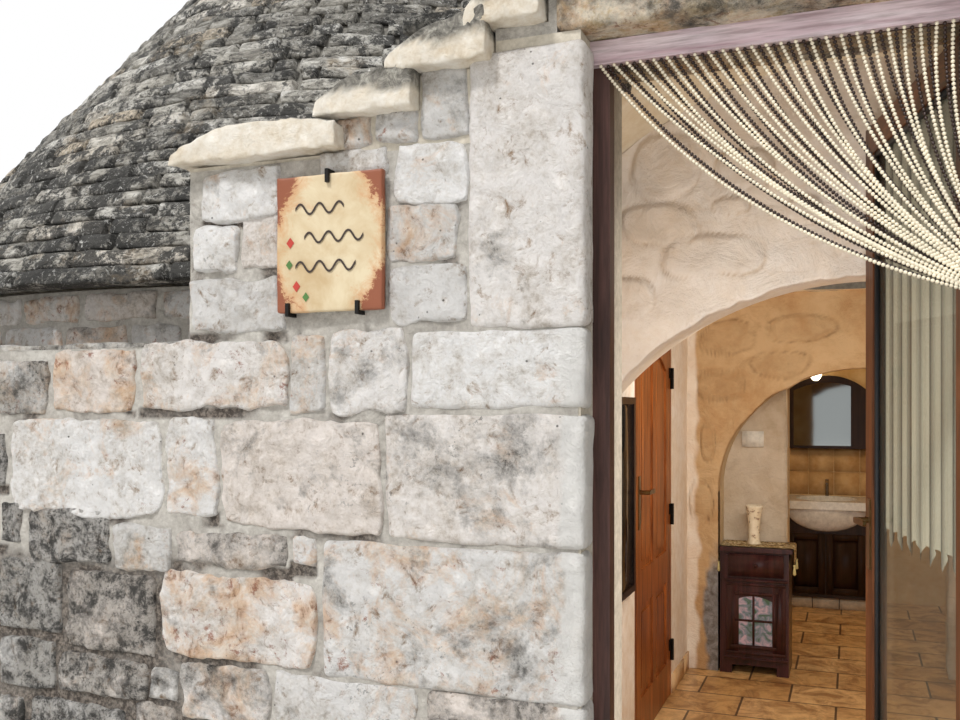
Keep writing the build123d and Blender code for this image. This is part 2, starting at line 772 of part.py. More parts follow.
def cabinet():
    """Small cabinet, shut: a drawer over a door, shaped feet and an overhanging top."""
    right = cabinet_left + cabinet_width
    top = floor_level + cabinet_height - cabinet_top_thickness
    front, back = cabinet_front, alcove_end
    body = block(cabinet_left, right, front, back, floor_level, top)
    body -= block(cabinet_left + cabinet_foot_width, right - cabinet_foot_width, front, back,
                  floor_level, floor_level + cabinet_foot_height)
    drawer_top = top - drawer_margin
    door_top = drawer_top - drawer_height - drawer_margin
    panel_front = front - cabinet_front_relief
    for z0, z1 in ((drawer_top - drawer_height, drawer_top), (floor_level + cabinet_door_bottom, door_top)):
        body += block(cabinet_left + cabinet_stile, right - cabinet_stile, panel_front, front, z0, z1)
    side = cabinet_top_overhang
    body += block(cabinet_left, right + side, front - side, back, top, top + cabinet_top_thickness)
    return {"cabinet": body}


def wash_stand():
    """Wash basin on its cupboard, with a tap, and a mirror cabinet on the wall over it."""
    left, right = wash_centre - vanity_width / 2, wash_centre + vanity_width / 2
    front = wing_back - vanity_depth
    top = floor_level + vanity_top
    rim_top = top + basin_rim
    bowl_y = wing_back - basin_depth + bowl_margin + bowl_radius
    plinth_top = floor_level + plinth_height
    cupboard = block(left, right, front, wing_back, plinth_top, top)
    cupboard += block(left, right, front + plinth_setback, wing_back, floor_level, plinth_top)
    outer = [(0, top - bowl_drop), (bowl_foot_radius, top - bowl_drop), (bowl_radius, top), (0, top)]
    hollow = [(0, top - bowl_drop + bowl_wall), (bowl_foot_radius - bowl_wall, top - bowl_drop + bowl_wall),
              (bowl_radius - bowl_wall, top), (bowl_radius - bowl_wall, rim_top), (0, rim_top)]
    bowl = turned(outer, wash_centre, bowl_y)
    rim = block(wash_centre - basin_width / 2, wash_centre + basin_width / 2, wing_back - basin_depth,
                wing_back, top, rim_top)
    rim = fillet(rim.edges().filter_by(Axis.Z).group_by(Axis.Y)[0], basin_corner)
    basin = (rim + bowl) - turned(hollow, wash_centre, bowl_y)
    tap_y = wing_back - tap_from_wall
    spout = rim_top + tap_height
    tap = rod((wash_centre, tap_y, rim_top), (wash_centre, tap_y, spout), tap_radius)
    spout_start = (wash_centre, tap_y, spout - tap_radius)
    spout_end = (wash_centre, tap_y - tap_reach, spout - 2 * tap_radius)
    tap += rod(spout_start, spout_end, tap_radius * 0.7)
    half = wash_mirror_width / 2
    low = floor_level + wash_mirror_bottom
    shoulder = low + wash_mirror_height - wash_mirror_rise
    outline = [Line((wash_centre - half, low), (wash_centre - half, shoulder)),
               ThreePointArc((wash_centre - half, shoulder), (wash_centre, low + wash_mirror_height),
                             (wash_centre + half, shoulder)),
               Line((wash_centre + half, shoulder), (wash_centre + half, low)),
               Line((wash_centre + half, low), (wash_centre - half, low))]
    return {"vanity": cupboard - bowl, "wash_basin": basin, "tap": tap,
            "mirror_cabinet": along_y(make_face(outline), wing_back - wash_mirror_depth, wing_back)}


def all_parts():
    parts = {"wall_mirror": wall_mirror()}
    for group in (low_walls, large_cone, wing_roof, gable_wall, coping, wing_walls, inner_arches, floors,
                  entrance_door, inner_door, curtain, plaque, cabinet, wash_stand):
        parts.update(group())
    return parts


os.makedirs("parts", exist_ok=True)
for name, shape in all_parts().items():
    export_step(Pos(-centre_x, -centre_y, 0) * shape, f"parts/{name}.step")
    print(name, "solids", len(shape.solids()))
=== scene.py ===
import json
import math
import bpy
import numpy as np
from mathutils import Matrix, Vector

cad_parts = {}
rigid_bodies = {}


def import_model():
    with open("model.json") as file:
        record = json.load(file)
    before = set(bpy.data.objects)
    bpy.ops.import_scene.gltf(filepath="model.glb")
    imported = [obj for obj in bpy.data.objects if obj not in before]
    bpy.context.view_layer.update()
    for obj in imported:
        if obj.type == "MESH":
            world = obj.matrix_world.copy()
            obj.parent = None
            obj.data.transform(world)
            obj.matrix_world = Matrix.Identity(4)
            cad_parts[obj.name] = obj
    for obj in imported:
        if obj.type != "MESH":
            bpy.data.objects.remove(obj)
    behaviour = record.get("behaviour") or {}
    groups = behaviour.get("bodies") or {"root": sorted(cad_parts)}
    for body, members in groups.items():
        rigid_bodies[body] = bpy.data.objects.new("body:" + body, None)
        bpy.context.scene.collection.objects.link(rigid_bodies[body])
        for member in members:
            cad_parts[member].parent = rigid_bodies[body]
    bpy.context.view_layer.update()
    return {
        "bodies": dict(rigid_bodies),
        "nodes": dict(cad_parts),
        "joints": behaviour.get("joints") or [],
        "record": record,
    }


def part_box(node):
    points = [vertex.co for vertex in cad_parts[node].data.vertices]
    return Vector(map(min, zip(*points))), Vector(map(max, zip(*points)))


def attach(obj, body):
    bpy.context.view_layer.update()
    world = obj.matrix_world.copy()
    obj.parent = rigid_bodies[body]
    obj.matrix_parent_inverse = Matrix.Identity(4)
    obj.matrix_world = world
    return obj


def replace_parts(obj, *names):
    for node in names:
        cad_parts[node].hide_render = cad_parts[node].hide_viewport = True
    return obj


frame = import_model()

print("frame loaded")

# Places below are in metres from the middle of the doorway, on the front face, at the ground.
doorLow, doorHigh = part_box("door_frame")
frontLow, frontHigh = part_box("gable_pier_left")
shift = np.array([(doorLow.x + doorHigh.x) / 2, frontLow.y, 0.0])


def nodeBox(name):
    low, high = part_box(name)
    return np.array(low) - shift, np.array(high) - shift


view = {
    "place": (0.14, -2.28, 1.52),
    "turnLeft": math.radians(21.2),
    "focal": 960.0,        # in pixels, of the 960 that the photo is wide
    "imageWidth": 960.0,
    "filmWidth": 36.0,
    "middleColumn": 480.0,
    "horizonRow": 405.0,
    "middleRow": 360.0,
}


def acrossAt(column, depth=0.0):      # x on an upright plane at that depth behind the front face
    swing = math.atan((column - view["middleColumn"]) / view["focal"]) - view["turnLeft"]
    return view["place"][0] + (depth - view["place"][1]) * math.tan(swing)


def heightAt(column, row, depth=0.0):
    lean = (column - view["middleColumn"]) / view["focal"]
    away = (depth - view["place"][1]) / (math.cos(view["turnLeft"]) + math.sin(view["turnLeft"]) * lean)
    return view["place"][2] + (view["horizonRow"] - row) * away / view["focal"]


# Noise from a fixed lattice, so that every run gives the same stones
def latticeValue(cell, seed):
    key = cell[..., 0] * 73856093 ^ cell[..., 1] * 19349663 ^ cell[..., 2] * 83492791 ^ (seed * 40503 + 977)
    key = (key ^ (key >> 13)) & 0x7FFFFFFF
    key = (key * 1274126177) & 0x7FFFFFFF
    key = key ^ (key >> 11)
    return (key & 0xFFFF) / 32767.5 - 1.0


def softNoise(points, size, seed):
    spot = points / size
    cell = np.floor(spot).astype(np.int64)
    part = spot - cell
    part = part * part * (3 - 2 * part)
    total = 0.0
    for i in (0, 1):
        for j in (0, 1):
            for k in (0, 1):
                share = 1.0
                for axis, far in enumerate((i, j, k)):
                    share = share * (part[..., axis] if far else 1 - part[..., axis])
                total = total + share * latticeValue(cell + np.array([i, j, k]), seed)
    return total


def roughNoise(points, size, seed, layers=3):
    return sum(softNoise(points, size / 2.1 ** k, seed + 31 * k) / 1.9 ** k for k in range(layers))


def shareOf(value):
    return np.clip(value, 0, 1)


def stepsTo(count, bend):      # from -1 to 1, closer together towards both ends
    return np.sin(np.linspace(-1, 1, count + 1) * math.pi / 2 * bend) / math.sin(math.pi / 2 * bend)


def jitter(points, size, seed):       # a different noise along each axis
    return np.stack([roughNoise(points, size, seed + 7 * axis, 2) for axis in range(3)], axis=-1)


# Meshes of quads: a part is (points, quads), and a piece is a list of parts
def pointsOf(x, y, z):
    return np.stack(np.broadcast_arrays(x, y, z), axis=-1).reshape(-1, 3)


def quadsOf(*corners):
    return np.stack([corner.ravel() for corner in corners], axis=1)


def gridQuads(columns, rowCount):
    index = np.arange((columns + 1) * (rowCount + 1)).reshape(columns + 1, rowCount + 1)
    return quadsOf(index[:-1, :-1], index[1:, :-1], index[1:, 1:], index[:-1, 1:])


def joined(parts):
    points, quads, start = [], [], 0
    for partPoints, partQuads in parts:
        points.append(partPoints)
        quads.append(partQuads + start)
        start += len(partPoints)
    return np.vstack(points), np.vstack(quads)


def addPiece(name, parts, finish, body="house", smooth=True, marks=None):
    points, quads = joined(parts)
    mesh = bpy.data.meshes.new(name)
    mesh.vertices.add(len(points))
    mesh.vertices.foreach_set("co", (points + shift).astype(np.float32).ravel())
    mesh.loops.add(quads.size)
    mesh.loops.foreach_set("vertex_index", quads.astype(np.int32).ravel())
    mesh.polygons.add(len(quads))
    mesh.polygons.foreach_set("loop_start", np.arange(0, quads.size, 4, dtype=np.int32))
    mesh.polygons.foreach_set("use_smooth", np.full(len(quads), smooth))
    for mark, values in (marks or {}).items():
        layer = mesh.attributes.new(mark, "FLOAT", "POINT")
        spread = np.concatenate([np.full(len(part[0]), value) for part, value in zip(parts, values)])
        layer.data.foreach_set("value", spread.astype(np.float32))
    mesh.update(calc_edges=True)
    mesh.validate()
    mesh.materials.append(finish)
    made = bpy.data.objects.new(name, mesh)
    bpy.context.collection.objects.link(made)
    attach(made, body)
    print(name, len(quads) * 2, "triangles")
    return made


def onWall(points, start, heading):   # points are (along, up, out) of a wall that runs along heading
    along, up, out = points[..., 0], points[..., 1], points[..., 2]
    c, s = math.cos(heading), math.sin(heading)
    return np.stack([start[0] + along * c + out * s, start[1] + along * s - out * c, up], axis=-1)


def onFront(points):
    return onWall(points, (0, 0), 0.0)


def ringPoint(centre, reach, turn):       # turn is measured from the front, towards the right
    return centre[0] + reach * np.sin(turn), centre[1] - reach * np.cos(turn)


def onDrum(points, centre, radius):   # along is measured round the drum from its front
    x, y = ringPoint(centre, radius + points[..., 2], points[..., 0] / radius)
    return np.stack([x, y, points[..., 1]], axis=-1)


def mirrored(points, quads, side):    # drawn for the left side, turned over for the right
    points[:, 0] *= -side
    return points, quads if side == -1 else quads[:, ::-1]


# One hewn stone face: chiselled facets, a rounded border that sinks into the wall
hewing = {
    "bend": 0.92,
    "sink": 0.014,            # how deep the border ends in the wall
    "shoulder": 0.011,        # width of the rounded border
    "facets": 9,
    "flattest": 0.45,         # least share of the bulge that any spot keeps
    "wander": 0.010,          # how far the edge strays from straight, over a band of this width
    "wanderBand": 0.09,
}


def stoneFace(box, bulge, cell, seed, rough=0.0065):
    left, right, low, high = box
    width, height = right - left, high - low
    rng = np.random.default_rng(seed)
    columns = max(4, int(round(width / cell)))
    rowCount = max(4, int(round(height / cell)))
    s, t = np.meshgrid(stepsTo(columns, hewing["bend"]), stepsTo(rowCount, hewing["bend"]), indexing="ij")
    corner = sum(rng.uniform(0.02, 0.15) * (1 + a * s) * (1 + b * t) / 4 for a in (-1, 1) for b in (-1, 1))
    pull = 1 - corner * (s * t) ** 4
    along = (left + right) / 2 + s * pull * width / 2
    up = (low + high) / 2 + t * pull * height / 2
    near = np.minimum((1 - np.abs(s)) * width / 2, (1 - np.abs(t)) * height / 2)
    rise = 1 - (1 - shareOf(near / hewing["shoulder"])) ** 2.4
    facet = np.full_like(s, 1.0)
    for _ in range(hewing["facets"]):
        turn = rng.uniform(0, 2 * math.pi)
        tilt = rng.uniform(0.15, 0.75)
        plane = rng.uniform(0.75, 1.25) - tilt * (math.cos(turn) * s + math.sin(turn) * t)
        facet = np.minimum(facet, plane)
    flat = np.stack([along, up, np.full_like(s, seed * 0.37)], axis=-1)
    creases = 1 - 2.4 * np.abs(roughNoise(flat, 0.13, seed + 3, 3))
    swell = np.clip(facet, 0.55, 1.0) * bulge + rough * (roughNoise(flat, 0.06, seed, 4) + 0.7 * creases)
    out = -hewing["sink"] + (hewing["sink"] + np.maximum(swell, hewing["flattest"] * bulge)) * rise
    edge = hewing["wander"] * shareOf(1.4 - near / hewing["wanderBand"])
    along = along + edge * roughNoise(flat, 0.075, seed + 5, 3)
    up = up + edge * roughNoise(flat, 0.075, seed + 9, 3)
    return pointsOf(along, up, out), gridQuads(columns, rowCount)


# One block, closed on all sides, with rounded and uneven edges
def roughBlock(low, high, cell, seed, rounding, uneven=0.0, size=0.12):
    low, high = np.array(low, float), np.array(high, float)
    half = (high - low) / 2
    counts = [max(2, int(round(2 * h / cell))) for h in half]
    lines = [stepsTo(count, 0.9) * h for count, h in zip(counts, half)]
    index = np.full([count + 1 for count in counts], -1)
    grid = np.stack(np.meshgrid(*lines, indexing="ij"), axis=-1)
    shell = np.ones(index.shape, bool)
    shell[1:-1, 1:-1, 1:-1] = False
    index[shell] = np.arange(shell.sum())
    points = grid[shell]
    inner = np.maximum(half - rounding, half * 0.4)
    held = np.clip(points, -inner, inner)
    away = points - held
    length = np.linalg.norm(away, axis=1, keepdims=True)
    points = held + away / np.maximum(length, 1e-9) * np.minimum(half - inner, rounding)
    points = points + (low + high) / 2
    if uneven:
        points = points + uneven * jitter(points + seed * 1.7, size, seed)
    quads = []
    for axis in range(3):
        for side in (0, -1):
            face = np.take(index, side, axis=axis)
            corners = [face[:-1, :-1], face[1:, :-1], face[1:, 1:], face[:-1, 1:]]
            if (side == -1) == (axis == 1):
                corners = corners[::-1]
            quads.append(quadsOf(*corners))
    return points, np.vstack(quads)


def turnedShell(profile, centre, steps):      # profile is (radius, height) from bottom to top
    radius, up = np.array(profile).T
    turn = np.linspace(0, 2 * math.pi, steps + 1)[:-1]
    x = centre[0] + np.outer(np.cos(turn), radius)
    y = centre[1] + np.outer(np.sin(turn), radius)
    index = np.arange(steps * len(profile)).reshape(steps, len(profile))
    after = np.roll(index, -1, axis=0)
    return pointsOf(x, y, up), quadsOf(index[:, :-1], after[:, :-1], after[:, 1:], index[:, 1:])


# Finishes
def tone(code):      # a colour as seen, from its six hex digits
    parts = [int(code[i:i + 2], 16) / 255 for i in (0, 2, 4)]
    return tuple(p / 12.92 if p <= 0.04045 else ((p + 0.055) / 1.055) ** 2.4 for p in parts) + (1.0,)


class Finish:
    def __init__(self, name, roughness, **sockets):
        self.material = bpy.data.materials.new(name)
        self.material.use_nodes = True
        self.tree = self.material.node_tree
        self.shader = self.tree.nodes["Principled BSDF"]
        self.shader.inputs["Roughness"].default_value = roughness
        for key, value in sockets.items():
            self.shader.inputs[key.replace("_", " ")].default_value = value
        self.place = self.tree.nodes.new("ShaderNodeTexCoord").outputs["Object"]

    def node(self, kind, settings=None, **sockets):
        made = self.tree.nodes.new("ShaderNode" + kind)
        for key, value in (settings or {}).items():
            setattr(made, key, value)
        for key, value in sockets.items():
            self.feed(made.inputs[key.replace("_", " ")], value)
        return made

    def feed(self, socket, value):       # with another socket, a number, or a colour's six digits
        if isinstance(value, bpy.types.NodeSocket):
            self.tree.links.new(value, socket)
        else:
            socket.default_value = tone(value) if isinstance(value, str) else value

    def stretched(self, x, y, z):
        return self.node("Mapping", Vector=self.place, Scale=(x, y, z)).outputs[0]

    def noise(self, scale, detail, rough=0.6, warp=0.0, where=None):
        made = self.node("TexNoise", Scale=scale, Detail=detail, Roughness=rough, Distortion=warp,
                         Vector=where or self.place)
        return made.outputs[0]

    def cells(self, scale):
        return self.node("TexVoronoi", Scale=scale, Vector=self.place).outputs[0]

    def ramp(self, value, *stops):
        made = self.node("ValToRGB", Fac=value)
        band = made.color_ramp
        while len(band.elements) < len(stops):
            band.elements.new(0.5)
        for element, (spot, colour) in zip(band.elements, stops):
            element.position = spot
            element.color = tone(colour) if isinstance(colour, str) else (colour,) * 3 + (1.0,)
        return made.outputs[0]

    def mix(self, share, first, second, mode="MIX"):
        made = self.node("Mix", {"data_type": "RGBA", "blend_type": mode})
        self.feed(made.inputs[0], share)
        self.feed(made.inputs[6], first)
        self.feed(made.inputs[7], second)
        return made.outputs[2]

    def math(self, work, first, second=0.5):
        made = self.node("Math", {"operation": work})
        self.feed(made.inputs[0], first)
        self.feed(made.inputs[1], second)
        return made.outputs[0]

    def times(self, first, second):
        return self.math("MULTIPLY", first, second)

    def plus(self, first, second):
        return self.math("ADD", first, second)

    def larger(self, first, second):
        return self.math("MAXIMUM", first, second)

    def island(self):       # a random number for each stone
        return self.node("NewGeometry").outputs["Random Per Island"]

    def facing(self, axis):
        return self.node("SeparateXYZ", Vector=self.node("NewGeometry").outputs["Normal"]).outputs[axis]

    def mark(self, name):       # a number that addPiece wrote on the points
        return self.node("Attribute", {"attribute_name": name}).outputs["Fac"]

    def colour(self, value):
        self.feed(self.shader.inputs["Base Color"], value)

    def relief(self, height, strength, distance):
        made = self.node("Bump", Strength=strength, Distance=distance, Height=height)
        if self.shader.inputs["Normal"].links:
            self.feed(made.inputs["Normal"], self.shader.inputs["Normal"].links[0].from_socket)
        self.feed(self.shader.inputs["Normal"], made.outputs[0])


def limestone(name, pale, mid, shade):
    f = Finish(name, 0.92)
    wide, fine = f.noise(5.0, 7, 0.66, 0.5), f.noise(46, 8, 0.74, 0.2)
    base = f.ramp(f.mix(0.5, wide, fine), (0.38, shade), (0.47, mid), (0.55, pale))
    tint = f.ramp(f.island(), (0.0, "dbd9d6"), (0.35, "f2f0ee"), (0.7, "fffefd"), (1.0, "f3e5da"))
    base = f.mix(0.8, base, tint, "MULTIPLY")
    stain = f.mark("stain")
    cloud = f.plus(f.noise(6.5, 9, 0.72, 0.5), f.times(stain, 0.18))
    ochre = f.ramp(f.noise(21, 6, 0.7, 0.4), (0.36, "c08a5a"), (0.50, "dfb78e"), (0.62, "f0dcc6"))
    base = f.mix(f.ramp(cloud, (0.60, 0.0), (0.74, 0.7)), base, ochre)
    rust = f.plus(f.noise(19, 9, 0.78, 0.4), f.times(stain, 0.12))
    base = f.mix(f.ramp(rust, (0.68, 0.0), (0.74, 0.8)), base, "99583a")
    lichen = f.mark("lichen")
    patch = f.ramp(f.plus(f.noise(6.0, 6, 0.66, 0.3), f.times(lichen, 0.38)), (0.62, 0.0), (0.84, 1.0))
    base = f.mix(f.times(patch, 0.72), base, "8f8a82")
    blot = f.ramp(f.noise(15, 11, 0.80, 0.2), (0.46, 0.0), (0.56, 0.95))
    speck = f.ramp(f.noise(75, 6, 0.75), (0.54, 0.0), (0.62, 0.9))
    base = f.mix(f.times(patch, f.larger(blot, speck)), base, "2d2b28")
    cluster = f.ramp(f.noise(4.2, 5, 0.66, 0.3), (0.54, 0.0), (0.66, 1.0))
    pits = f.ramp(f.noise(60, 5, 0.72), (0.57, 0.0), (0.62, 0.85))
    pitted = f.times(cluster, f.ramp(lichen, (0.05, 0.05), (0.30, 1.0)))
    base = f.mix(f.times(pitted, pits), base, "3b3732")
    holesAndShade = f.plus(f.cells(34), f.ramp(f.noise(11, 5, 0.6), (0.46, 0.5), (0.60, 0.0)))
    # painted shade: the holes are coloured dark brown where the relief sinks them
    base = f.mix(f.ramp(holesAndShade, (0.06, 0.85), (0.14, 0.0)), base, "453b31")
    wash = f.mark("wash")
    chiselAndShade = f.noise(21, 10, 0.74, 0.5)
    # painted shade: the chisel marks' hollows are darkened in the colour, and the same noise sinks them in
    # the relief
    base = f.mix(1.0, base, f.ramp(chiselAndShade, (0.32, "ab937a"), (0.44, "ffffff")), "MULTIPLY")
    f.colour(f.mix(f.times(wash, 0.9), base, "eeebe6"))
    f.relief(f.noise(11, 6, 0.62, 0.4), 0.8, 0.030)
    f.relief(chiselAndShade, 1.0, 0.034)
    f.relief(f.ramp(holesAndShade, (0.04, 0.0), (0.16, 1.0)), 0.5, 0.004)
    f.relief(f.noise(190, 6, 0.75), 0.6, 0.0020)
    return f.material


def mortarFinish():
    f = Finish("mortarFinish", 0.95)
    base = f.ramp(f.mix(0.5, f.noise(6, 7, 0.7, 0.5), f.noise(60, 6, 0.72)),
                  (0.34, "979189"), (0.48, "b5afa6"), (0.60, "cdc8bf"))
    dirtAndShade = f.ramp(f.noise(3.6, 9, 0.78, 1.0), (0.56, 0.0), (0.68, 0.75))
    dark = f.ramp(f.noise(85, 6, 0.75), (0.44, "3d352f"), (0.62, "877c71"))
    uneven = f.ramp(f.noise(12, 6, 0.7), (0.30, 0.7), (0.55, 1.0))
    # dark where the mortar is dirty, and painted shade under each stone's lower edge, which mortarSkin writes
    # into the mark
    f.colour(f.mix(f.larger(dirtAndShade, f.times(f.mark("dirtAndShade"), uneven)), base, dark))
    f.relief(f.noise(16, 9, 0.75, 0.6), 1.0, 0.016)
    f.relief(f.noise(130, 6, 0.78), 0.8, 0.003)
    return f.material


def roofFinish():
    f = Finish("roofFinish", 0.93)
    grain = f.stretched(1.0, 1.0, 2.2)
    base = f.ramp(f.noise(9, 9, 0.74, 0.9, grain), (0.35, "5f5c57"), (0.45, "9f9b93"),
                  (0.53, "cfcbc2"), (0.62, "f0ede7"))
    tint = f.ramp(f.island(), (0.0, "7f7d78"), (0.35, "bab7b1"), (0.62, "e4e1db"),
                  (0.86, "ffffff"), (1.0, "f0dcc0"))
    base = f.mix(0.75, base, tint, "MULTIPLY")
    patch = f.plus(f.noise(5.5, 7, 0.7, 0.6), f.times(f.noise(30, 9, 0.8, 1.0), 0.7))
    # more black low on the cone: partly lichen, partly painted shade between the lower courses
    height = f.node("SeparateXYZ", Vector=f.place).outputs[2]
    patch = f.plus(patch, f.ramp(f.times(height, 0.2), (0.40, 0.09), (0.58, 0.0)))
    black = f.ramp(patch, (0.85, 0.0), (0.91, 0.9))
    base = f.mix(black, base, "2a2927")
    white = f.ramp(f.noise(38, 9, 0.8, 1.3), (0.57, 0.0), (0.63, 0.9))
    base = f.mix(white, base, "e9e6df")
    warm = f.ramp(f.noise(4.5, 6, 0.65), (0.60, 0.0), (0.72, 0.45))
    base = f.mix(warm, base, "b89f7c")
    split = f.noise(22, 10, 0.76, 0.8, grain)
    # painted shade: the splits' hollows are darkened in the colour, and the same noise sinks them in the
    # relief
    f.colour(f.mix(1.0, base, f.ramp(split, (0.36, "57544e"), (0.46, "ffffff")), "MULTIPLY"))
    f.relief(split, 1.0, 0.024)
    f.relief(f.noise(150, 7, 0.78), 0.7, 0.003)
    return f.material


def plasterFinish(name, pale, warm, patches):
    f = Finish(name, 0.9)
    base = f.ramp(f.noise(2.6, 6, 0.62, 0.4), (0.36, warm), (0.60, pale))
    base = f.mix(0.35, base, f.ramp(f.noise(19, 6, 0.7), (0.35, "d9c7ac"), (0.6, "ffffff")), "MULTIPLY")
    tan = f.ramp(f.noise(5.2, 7, 0.7, 1.0), (0.60, 0.0), (0.72, patches))
    f.colour(f.mix(tan, base, "c39f6e"))
    f.relief(f.noise(7, 8, 0.65, 0.5), 0.7, 0.014)
    f.relief(f.noise(60, 6, 0.7), 0.5, 0.003)
    return f.material


limestoneFinish = limestone("limestoneFinish", "fcfaf8", "eeeae5", "c8bfb4")
wallStoneFinish = limestone("wallStoneFinish", "f2eee8", "ded8ce", "b9afa1")
print("stone finishes ready")


# Front wall: left, right, top and bottom of each stone that shows in the photo, in its columns and
# rows, then how stained it is and how much lichen it has, from 0 to 1
facade = {
    "cell": 0.0098,
    "bulge": 0.019,
    "grow": 0.007,            # stones reach a little into the joints
    "behindPlaque": 0.008,    # height that stones keep to behind the plaque, and this far round it
    "plaqueSpare": 0.010,
    "darkFrom": 0.6,          # stones with more lichen than this have open joints
    "darkJoint": (0.009, 0.008),
    "overFrame": 0.014,       # jamb stones stand a little past the opening
    "stones": {
        "underFirstSlab": (203, 282, 170, 219, 0.3, 0.1),
        "leftEdge": (197, 239, 228, 272, 0.1, 0.2),
        "leftOfPlaque": (244, 282, 216, 268, 0.2, 0.0),
        "aboveLedge": (192, 285, 281, 333, 0.2, 0.1),
        "overPlaque": (322, 388, 150, 176, 0.3, 0.0),
        "orangeChip": (338, 374, 118, 146, 1.0, 0.0),
        "underSecondSlab": (376, 417, 111, 140, 0.5, 0.1),
        "upperNarrow": (424, 468, 72, 137, 0.3, 0.2),
        "upperBlock": (398, 467, 145, 204, 0.1, 0.0),
        "middleBlock": (390, 458, 208, 262, 0.6, 0.0),
        "lowerBlock": (390, 466, 267, 322, 0.1, 0.1),
        "ledgeEnd": (0, 50, 361, 414, 0.8, 0.6),
        "ledgeSecond": (55, 136, 350, 412, 0.8, 0.1),
        "ledgeThird": (143, 288, 342, 408, 0.7, 0.1),
        "uprightChip": (292, 324, 336, 413, 0.6, 0.0),
        "stainedBlock": (332, 405, 331, 413, 0.5, 0.3),
        "rowBLeft": (0, 9, 430, 486, 0.2, 0.9),
        "rowBFirst": (15, 164, 420, 515, 0.5, 0.1),
        "rowBSecond": (168, 218, 419, 514, 0.5, 0.0),
        "rowBThird": (222, 381, 421, 530, 0.1, 0.2),
        "rowCEdge": (0, 25, 500, 545, 0.3, 0.9),
        "rowCFirst": (28, 112, 507, 564, 0.3, 1.0),
        "rowCSecond": (114, 172, 526, 570, 0.5, 0.2),
        "rowCThird": (176, 290, 531, 568, 0.3, 0.7),
        "rowCChip": (294, 315, 539, 565, 0.9, 0.0),
        "rowDEdge": (0, 65, 556, 631, 0.2, 1.0),
        "rowDFirst": (66, 160, 571, 654, 0.3, 0.9),
        "rowDSecond": (164, 316, 576, 661, 1.0, 0.2),
        "rowEEdge": (0, 58, 636, 688, 0.2, 1.0),
        "rowEFirst": (60, 150, 655, 697, 0.3, 0.8),
        "rowEChip": (153, 180, 668, 700, 0.4, 0.6),
        "rowESecond": (184, 270, 666, 722, 0.5, 0.5),
        "rowEThird": (275, 416, 681, 735, 0.3, 0.2),
        "rowFEdge": (0, 28, 692, 724, 0.2, 1.0),
        "rowFFirst": (32, 128, 700, 735, 0.2, 1.0),
        "rowFSecond": (134, 180, 703, 740, 0.2, 0.8),
    },
    "jambStones": {       # these turn the corner into the doorway: left, top and bottom, stain, lichen
        "tallQuoin": (472, 48, 326, 0.1, 0.1),
        "jambFirst": (414, 332, 407, 0.2, 0.1),
        "jambSecond": (388, 416, 543, 0.1, 0.3),
        "jambThird": (325, 549, 690, 0.7, 0.3),
        "jambFourth": (430, 700, 770, 0.2, 0.7),
    },
    "jambRight": 583,         # column of the doorway's edge
    "jambProud": 0.014,
    "reveal": 0.088,          # how far the jamb stones reach into the doorway
    "rightShare": 0.94,       # length of the right jamb stones, as a share of the left ones
    "whitewash": 0.050,       # limewashed strip beside the doorway
}
house = {
    "left": -5.50, "back": 6.30, "lowTop": 1.690, "lowRight": -0.680,
    "gable": 1.640, "gableDepth": 0.450, "gableFoot": 2.190, "doorHalf": 0.480, "lintelTop": 2.560,
    "wingEnd": 5.600, "wingLeft": -1.060, "wingTop": 2.100, "ridge": 2.830, "fall": 0.402, "roofRight": 1.700,
}


def stoneBox(left, right, top, bottom):
    middle, grow = (left + right) / 2, facade["grow"]
    return (acrossAt(left) - grow, acrossAt(right) + grow,
            heightAt(middle, bottom) - grow, heightAt(middle, top) + grow)


rows = {
    "levels": [0.0, 0.24, 0.43, 0.61, 0.80, 0.98, 1.16, 1.495, 1.69, 1.90, 2.10],
    "lowFront": (0.0, 0.20, 0.42),       # under the rows that the photo shows
    "lengths": (0.20, 0.52),
    "joint": 0.009,               # half of the open joint between two stones
    "bed": 0.008,                 # half of the open joint between two rows
    "corner": (0.24, 0.40),       # short and long side of a corner stone
    "proud": 0.016,               # how far a corner stone stands out of both walls
}


def nextSeed(rng):
    return int(rng.integers(1e6))


class Masonry:      # stones gathered for one piece, each with its stain, lichen and whitewash
    def __init__(self, seed=0):
        self.rng = np.random.default_rng(seed)
        self.parts, self.stain, self.lichen, self.wash = [], [], [], []

    def add(self, part, stain, lichen, wash=0.0):
        self.parts.append(part)
        self.stain.append(stain)
        self.lichen.append(lichen)
        self.wash.append(wash)

    def row(self, start, end, lengths=rows["lengths"]):       # splits a row into stones with open joints
        cuts = [start]
        while end - cuts[-1] > lengths[1] * 1.35:
            cuts.append(cuts[-1] + self.rng.uniform(*lengths))
        cuts.append(end)
        if len(cuts) > 2 and cuts[-1] - cuts[-2] < lengths[0] * 0.6:
            cuts.pop(-2)
        return [(a + rows["joint"], b - rows["joint"]) for a, b in zip(cuts[:-1], cuts[1:])]

    def drawn(self, value):      # a pair is a range to draw from
        return self.rng.uniform(*value) if isinstance(value, tuple) else value

    def lay(self, span, place, stain, lichen, darkening=1.0, extra=0.0, **look):
        look = {"bulge": 0.016, "cell": 0.026, **look}
        points, quads = stoneFace(span, seed=nextSeed(self.rng), **look)
        stain = self.drawn(stain)
        self.add((place(points), quads), stain, darkening * self.drawn(lichen) + extra)

    def build(self, name, finish):
        addPiece(name, self.parts, finish,
                 marks={"stain": self.stain, "lichen": self.lichen, "wash": self.wash})


def jambStone(start, end, low, high, seed):
    return roughBlock((start, -facade["jambProud"], low), (end, facade["reveal"], high), 0.016, seed,
                      rounding=0.022, uneven=0.0045, size=0.10)


